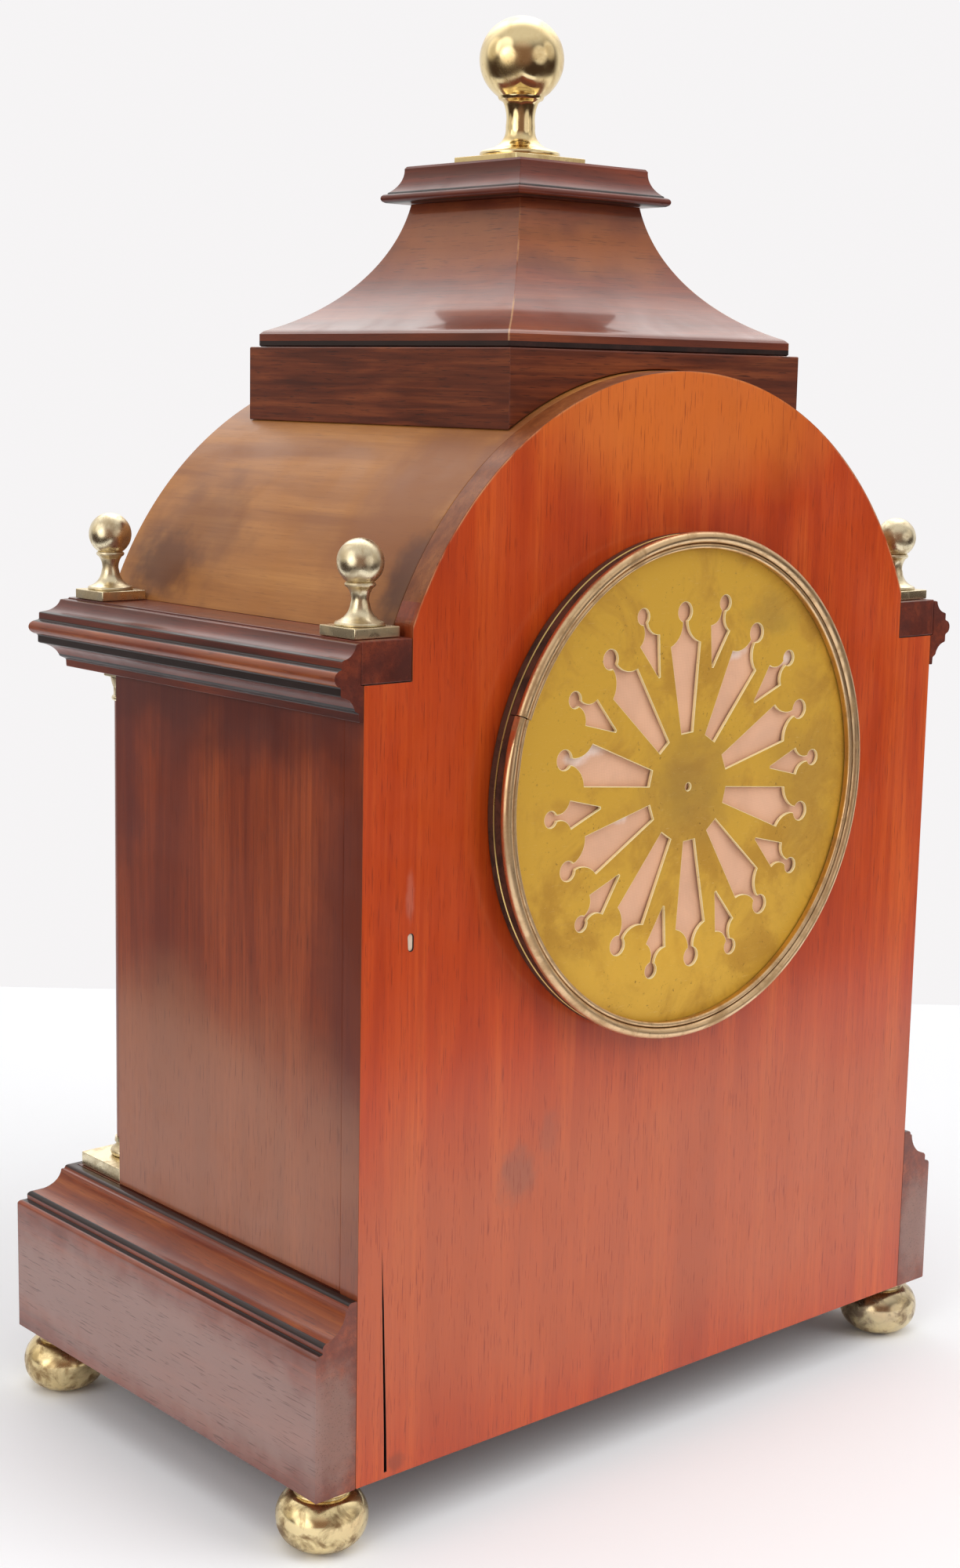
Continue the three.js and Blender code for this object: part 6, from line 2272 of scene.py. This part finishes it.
@dataclass
class Studio:
    """Camera, white paper, backdrop and soft lights."""

    eye: Place = (500.93, 555.72, 326.77)
    forward: Place = (-0.65198, -0.73903, -0.16957)
    roll: float = 1.107
    lens: float = 53.395
    paper_near: Point = (390.0, 430.0)
    paper_far: float = 1222.0
    paper: Colour = (0.93, 0.94, 0.96)
    backdrop: Colour = (0.92, 0.905, 0.91)
    dim_room: Colour = (0.05, 0.03, 0.022)
    glows: tuple[Glow, ...] = (
        Glow((-0.62, -0.7, 0.2), 0.1, 0.6, (0.8, 0.79, 0.78)),
        Glow((0.65, 0.74, 0.17), 0.75, 0.97, (0.2, 0.12, 0.09)),
        Glow((0.0, 0.0, 1.0), 0.3, 0.85, (0.7, 0.69, 0.67)),
        Glow((-0.45, -0.52, 0.73), 0.78, 0.93, (0.9, 0.88, 0.86)),
        Glow((0.9, -0.1, 0.45), 0.88, 0.96, (1.0, 0.98, 0.95)),
        Glow((1.0, 0.15, 0.1), 0.9, 0.97, (1.6, 1.55, 1.45)),
        Glow((-0.15, 1.0, 0.15), 0.9, 0.97, (0.8, 0.76, 0.72)),
        Glow((0.7, -0.62, 0.36), 0.9, 0.97, (0.6, 0.55, 0.45)),
        Glow((-0.65, 0.74, 0.34), 0.93, 0.98, (0.6, 0.56, 0.5)),
    )

    def build(self) -> None:
        """Sets up everything that isn't the clock."""
        self.camera()
        self.floor()
        self.world()
        self.lamp("overhead_light", (150.0, 350.0, 2300.0), 2200.0, 19.0)
        self.lamp("key_light", (-900.0, 1500.0, 1350.0), 1500.0, 17.0)
        self.lamp("side_light", (1700.0, 300.0, 1100.0), 1400.0, 9.5)
        self.lamp("front_light", (-400.0, -1700.0, 1300.0), 1600.0, 6.0)
        bpy.context.scene.view_settings.view_transform = "Standard"

    def camera(self) -> None:
        """The photograph's viewpoint."""
        data = bpy.data.cameras.new("camera")
        data.lens = self.lens
        data.sensor_width = 36.0
        data.clip_start, data.clip_end = 0.01, 50.0
        camera = bpy.data.objects.new("camera", data)
        bpy.context.scene.collection.objects.link(camera)
        forward = Vector(self.forward).normalized()
        right = forward.cross(Vector((0, 0, 1))).normalized()
        up = right.cross(forward)
        turn = math.radians(self.roll)
        across = right * math.cos(turn) + up * math.sin(turn)
        rise = up * math.cos(turn) - right * math.sin(turn)
        axes = Matrix((across, rise, -forward)).transposed().to_4x4()
        camera.matrix_world = Matrix.Translation(Vector(self.eye) * MM) @ axes
        bpy.context.scene.camera = camera

    def floor(self) -> None:
        """White paper under the clock. It ends short of the camera, so high polish sees past it."""
        near_x, near_y = self.paper_near
        away = Vector(self.forward[:2]).normalized()
        edge = Vector(self.eye[:2]) + away * self.paper_far
        along = Vector((away.y, -away.x))
        left = edge + along * ((near_y - edge.y) / along.y)
        right = edge + along * ((near_x - edge.x) / along.x)
        piece = Piece("floor")
        piece.corners = [(near_x, near_y, 0.0), (left.x, left.y, 0.0), (right.x, right.y, 0.0)]
        piece.face(range(3))
        sh = Shading("floor_paper")
        grain = sh.noise(0.02, 2.0)
        paper = sh.mix(sh.math("MULTIPLY", grain, 0.15), self.paper, (0.9, 0.9, 0.91))
        material = sh.close(Base_Color=paper, Roughness=0.9, Specular_IOR_Level=0.1)
        piece.build([material])

    def world(self) -> None:
        """Even light from all round, a white backdrop, and the room that gloss sees."""
        world = bpy.data.worlds.new("studio")
        bpy.context.scene.world = world
        world.use_nodes = True
        nodes = Nodes(world.node_tree)
        path = nodes.add("ShaderNodeLightPath").outputs
        soft = self.background(nodes, (1.0, 0.985, 0.975), 0.55)
        seen = self.background(nodes, self.backdrop, 1.0)
        gloss = self.background(nodes, self.room(nodes), 1.0)
        lit = nodes.either(path["Is Glossy Ray"], soft, gloss)
        straight = nodes.math("MAXIMUM", path["Is Camera Ray"], path["Is Transmission Ray"])
        output = nodes.add("ShaderNodeOutputWorld")
        nodes.feed(output.inputs["Surface"], nodes.either(straight, lit, seen))

    @staticmethod
    def background(nodes: Nodes, colour: Colour | Socket, strength: float) -> Socket:
        """A background of one colour or of a linked one."""
        inputs = {"Color": colour, "Strength": strength}
        return nodes.fed("ShaderNodeBackground", inputs).outputs[0]

    def room(self, nodes: Nodes) -> Socket:
        """What gloss sees: the white backdrop on one side, lights above and a dim room elsewhere.

        Args:
            nodes: The world's nodes.

        Returns:
            The room's colour.
        """
        where = nodes.add("ShaderNodeTexCoord").outputs["Generated"]
        total = self.dim_room
        for glow in self.glows:
            towards = Vector(glow.towards).normalized()
            inputs = {0: where, 1: towards}
            along = nodes.fed("ShaderNodeVectorMath", inputs, operation="DOT_PRODUCT")
            level = nodes.step(along.outputs["Value"], glow.edge, glow.core)
            total = nodes.mix(level, total, glow.colour, "ADD")
        return total

    @staticmethod
    def lamp(name: str, at: Place, size: float, power: float) -> None:
        """A square soft light that looks at the clock and that gloss doesn't see.

        Args:
            name: Name of the light.
            at: Its place.
            size: Length of its side.
            power: Power in watts.
        """
        data = bpy.data.lights.new(name, "AREA")
        data.shape = "SQUARE"
        data.size = size * MM
        data.energy = power
        light = bpy.data.objects.new(name, data)
        bpy.context.scene.collection.objects.link(light)
        light.location = Vector(at) * MM
        light.visible_glossy = False
        aim = Vector((0.0, 0.0, 0.2)) - light.location
        light.rotation_mode = "QUATERNION"
        light.rotation_quaternion = aim.to_track_quat("-Z", "Y")


def clear_scene() -> None:
    """Empties Blender's default scene."""
    for thing in list(bpy.data.objects):
        bpy.data.objects.remove(thing)


def main() -> None:
    """Builds the clock round the frame, then the studio."""
    logging.basicConfig(level=logging.INFO, format="%(name)s: %(message)s")
    clear_scene()
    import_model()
    datum = Datum.from_frame()
    finishes = Finishes(datum)
    rear = RearDoor(datum, finishes, 1, 75.6, "rear_ring", "rear_door_rim", Body.REAR_DOOR)
    front = FrontDoor(datum, finishes, -1, 81.0, "dial_ring", "front_door_rim", Body.FRONT_DOOR)
    parts = (
        Plinth(datum, finishes),
        Carcase(datum, finishes),
        ShouldersAndVault(datum, finishes),
        Caddy(datum, finishes),
        TurnedBrass(datum, finishes),
        rear,
        front,
        Dial(datum, finishes),
        Movement(finishes),
        Studio(),
    )
    for part in parts:
        LOG.info("building %s", type(part).__name__)
        part.build()


if __name__ == "__main__":
    main()
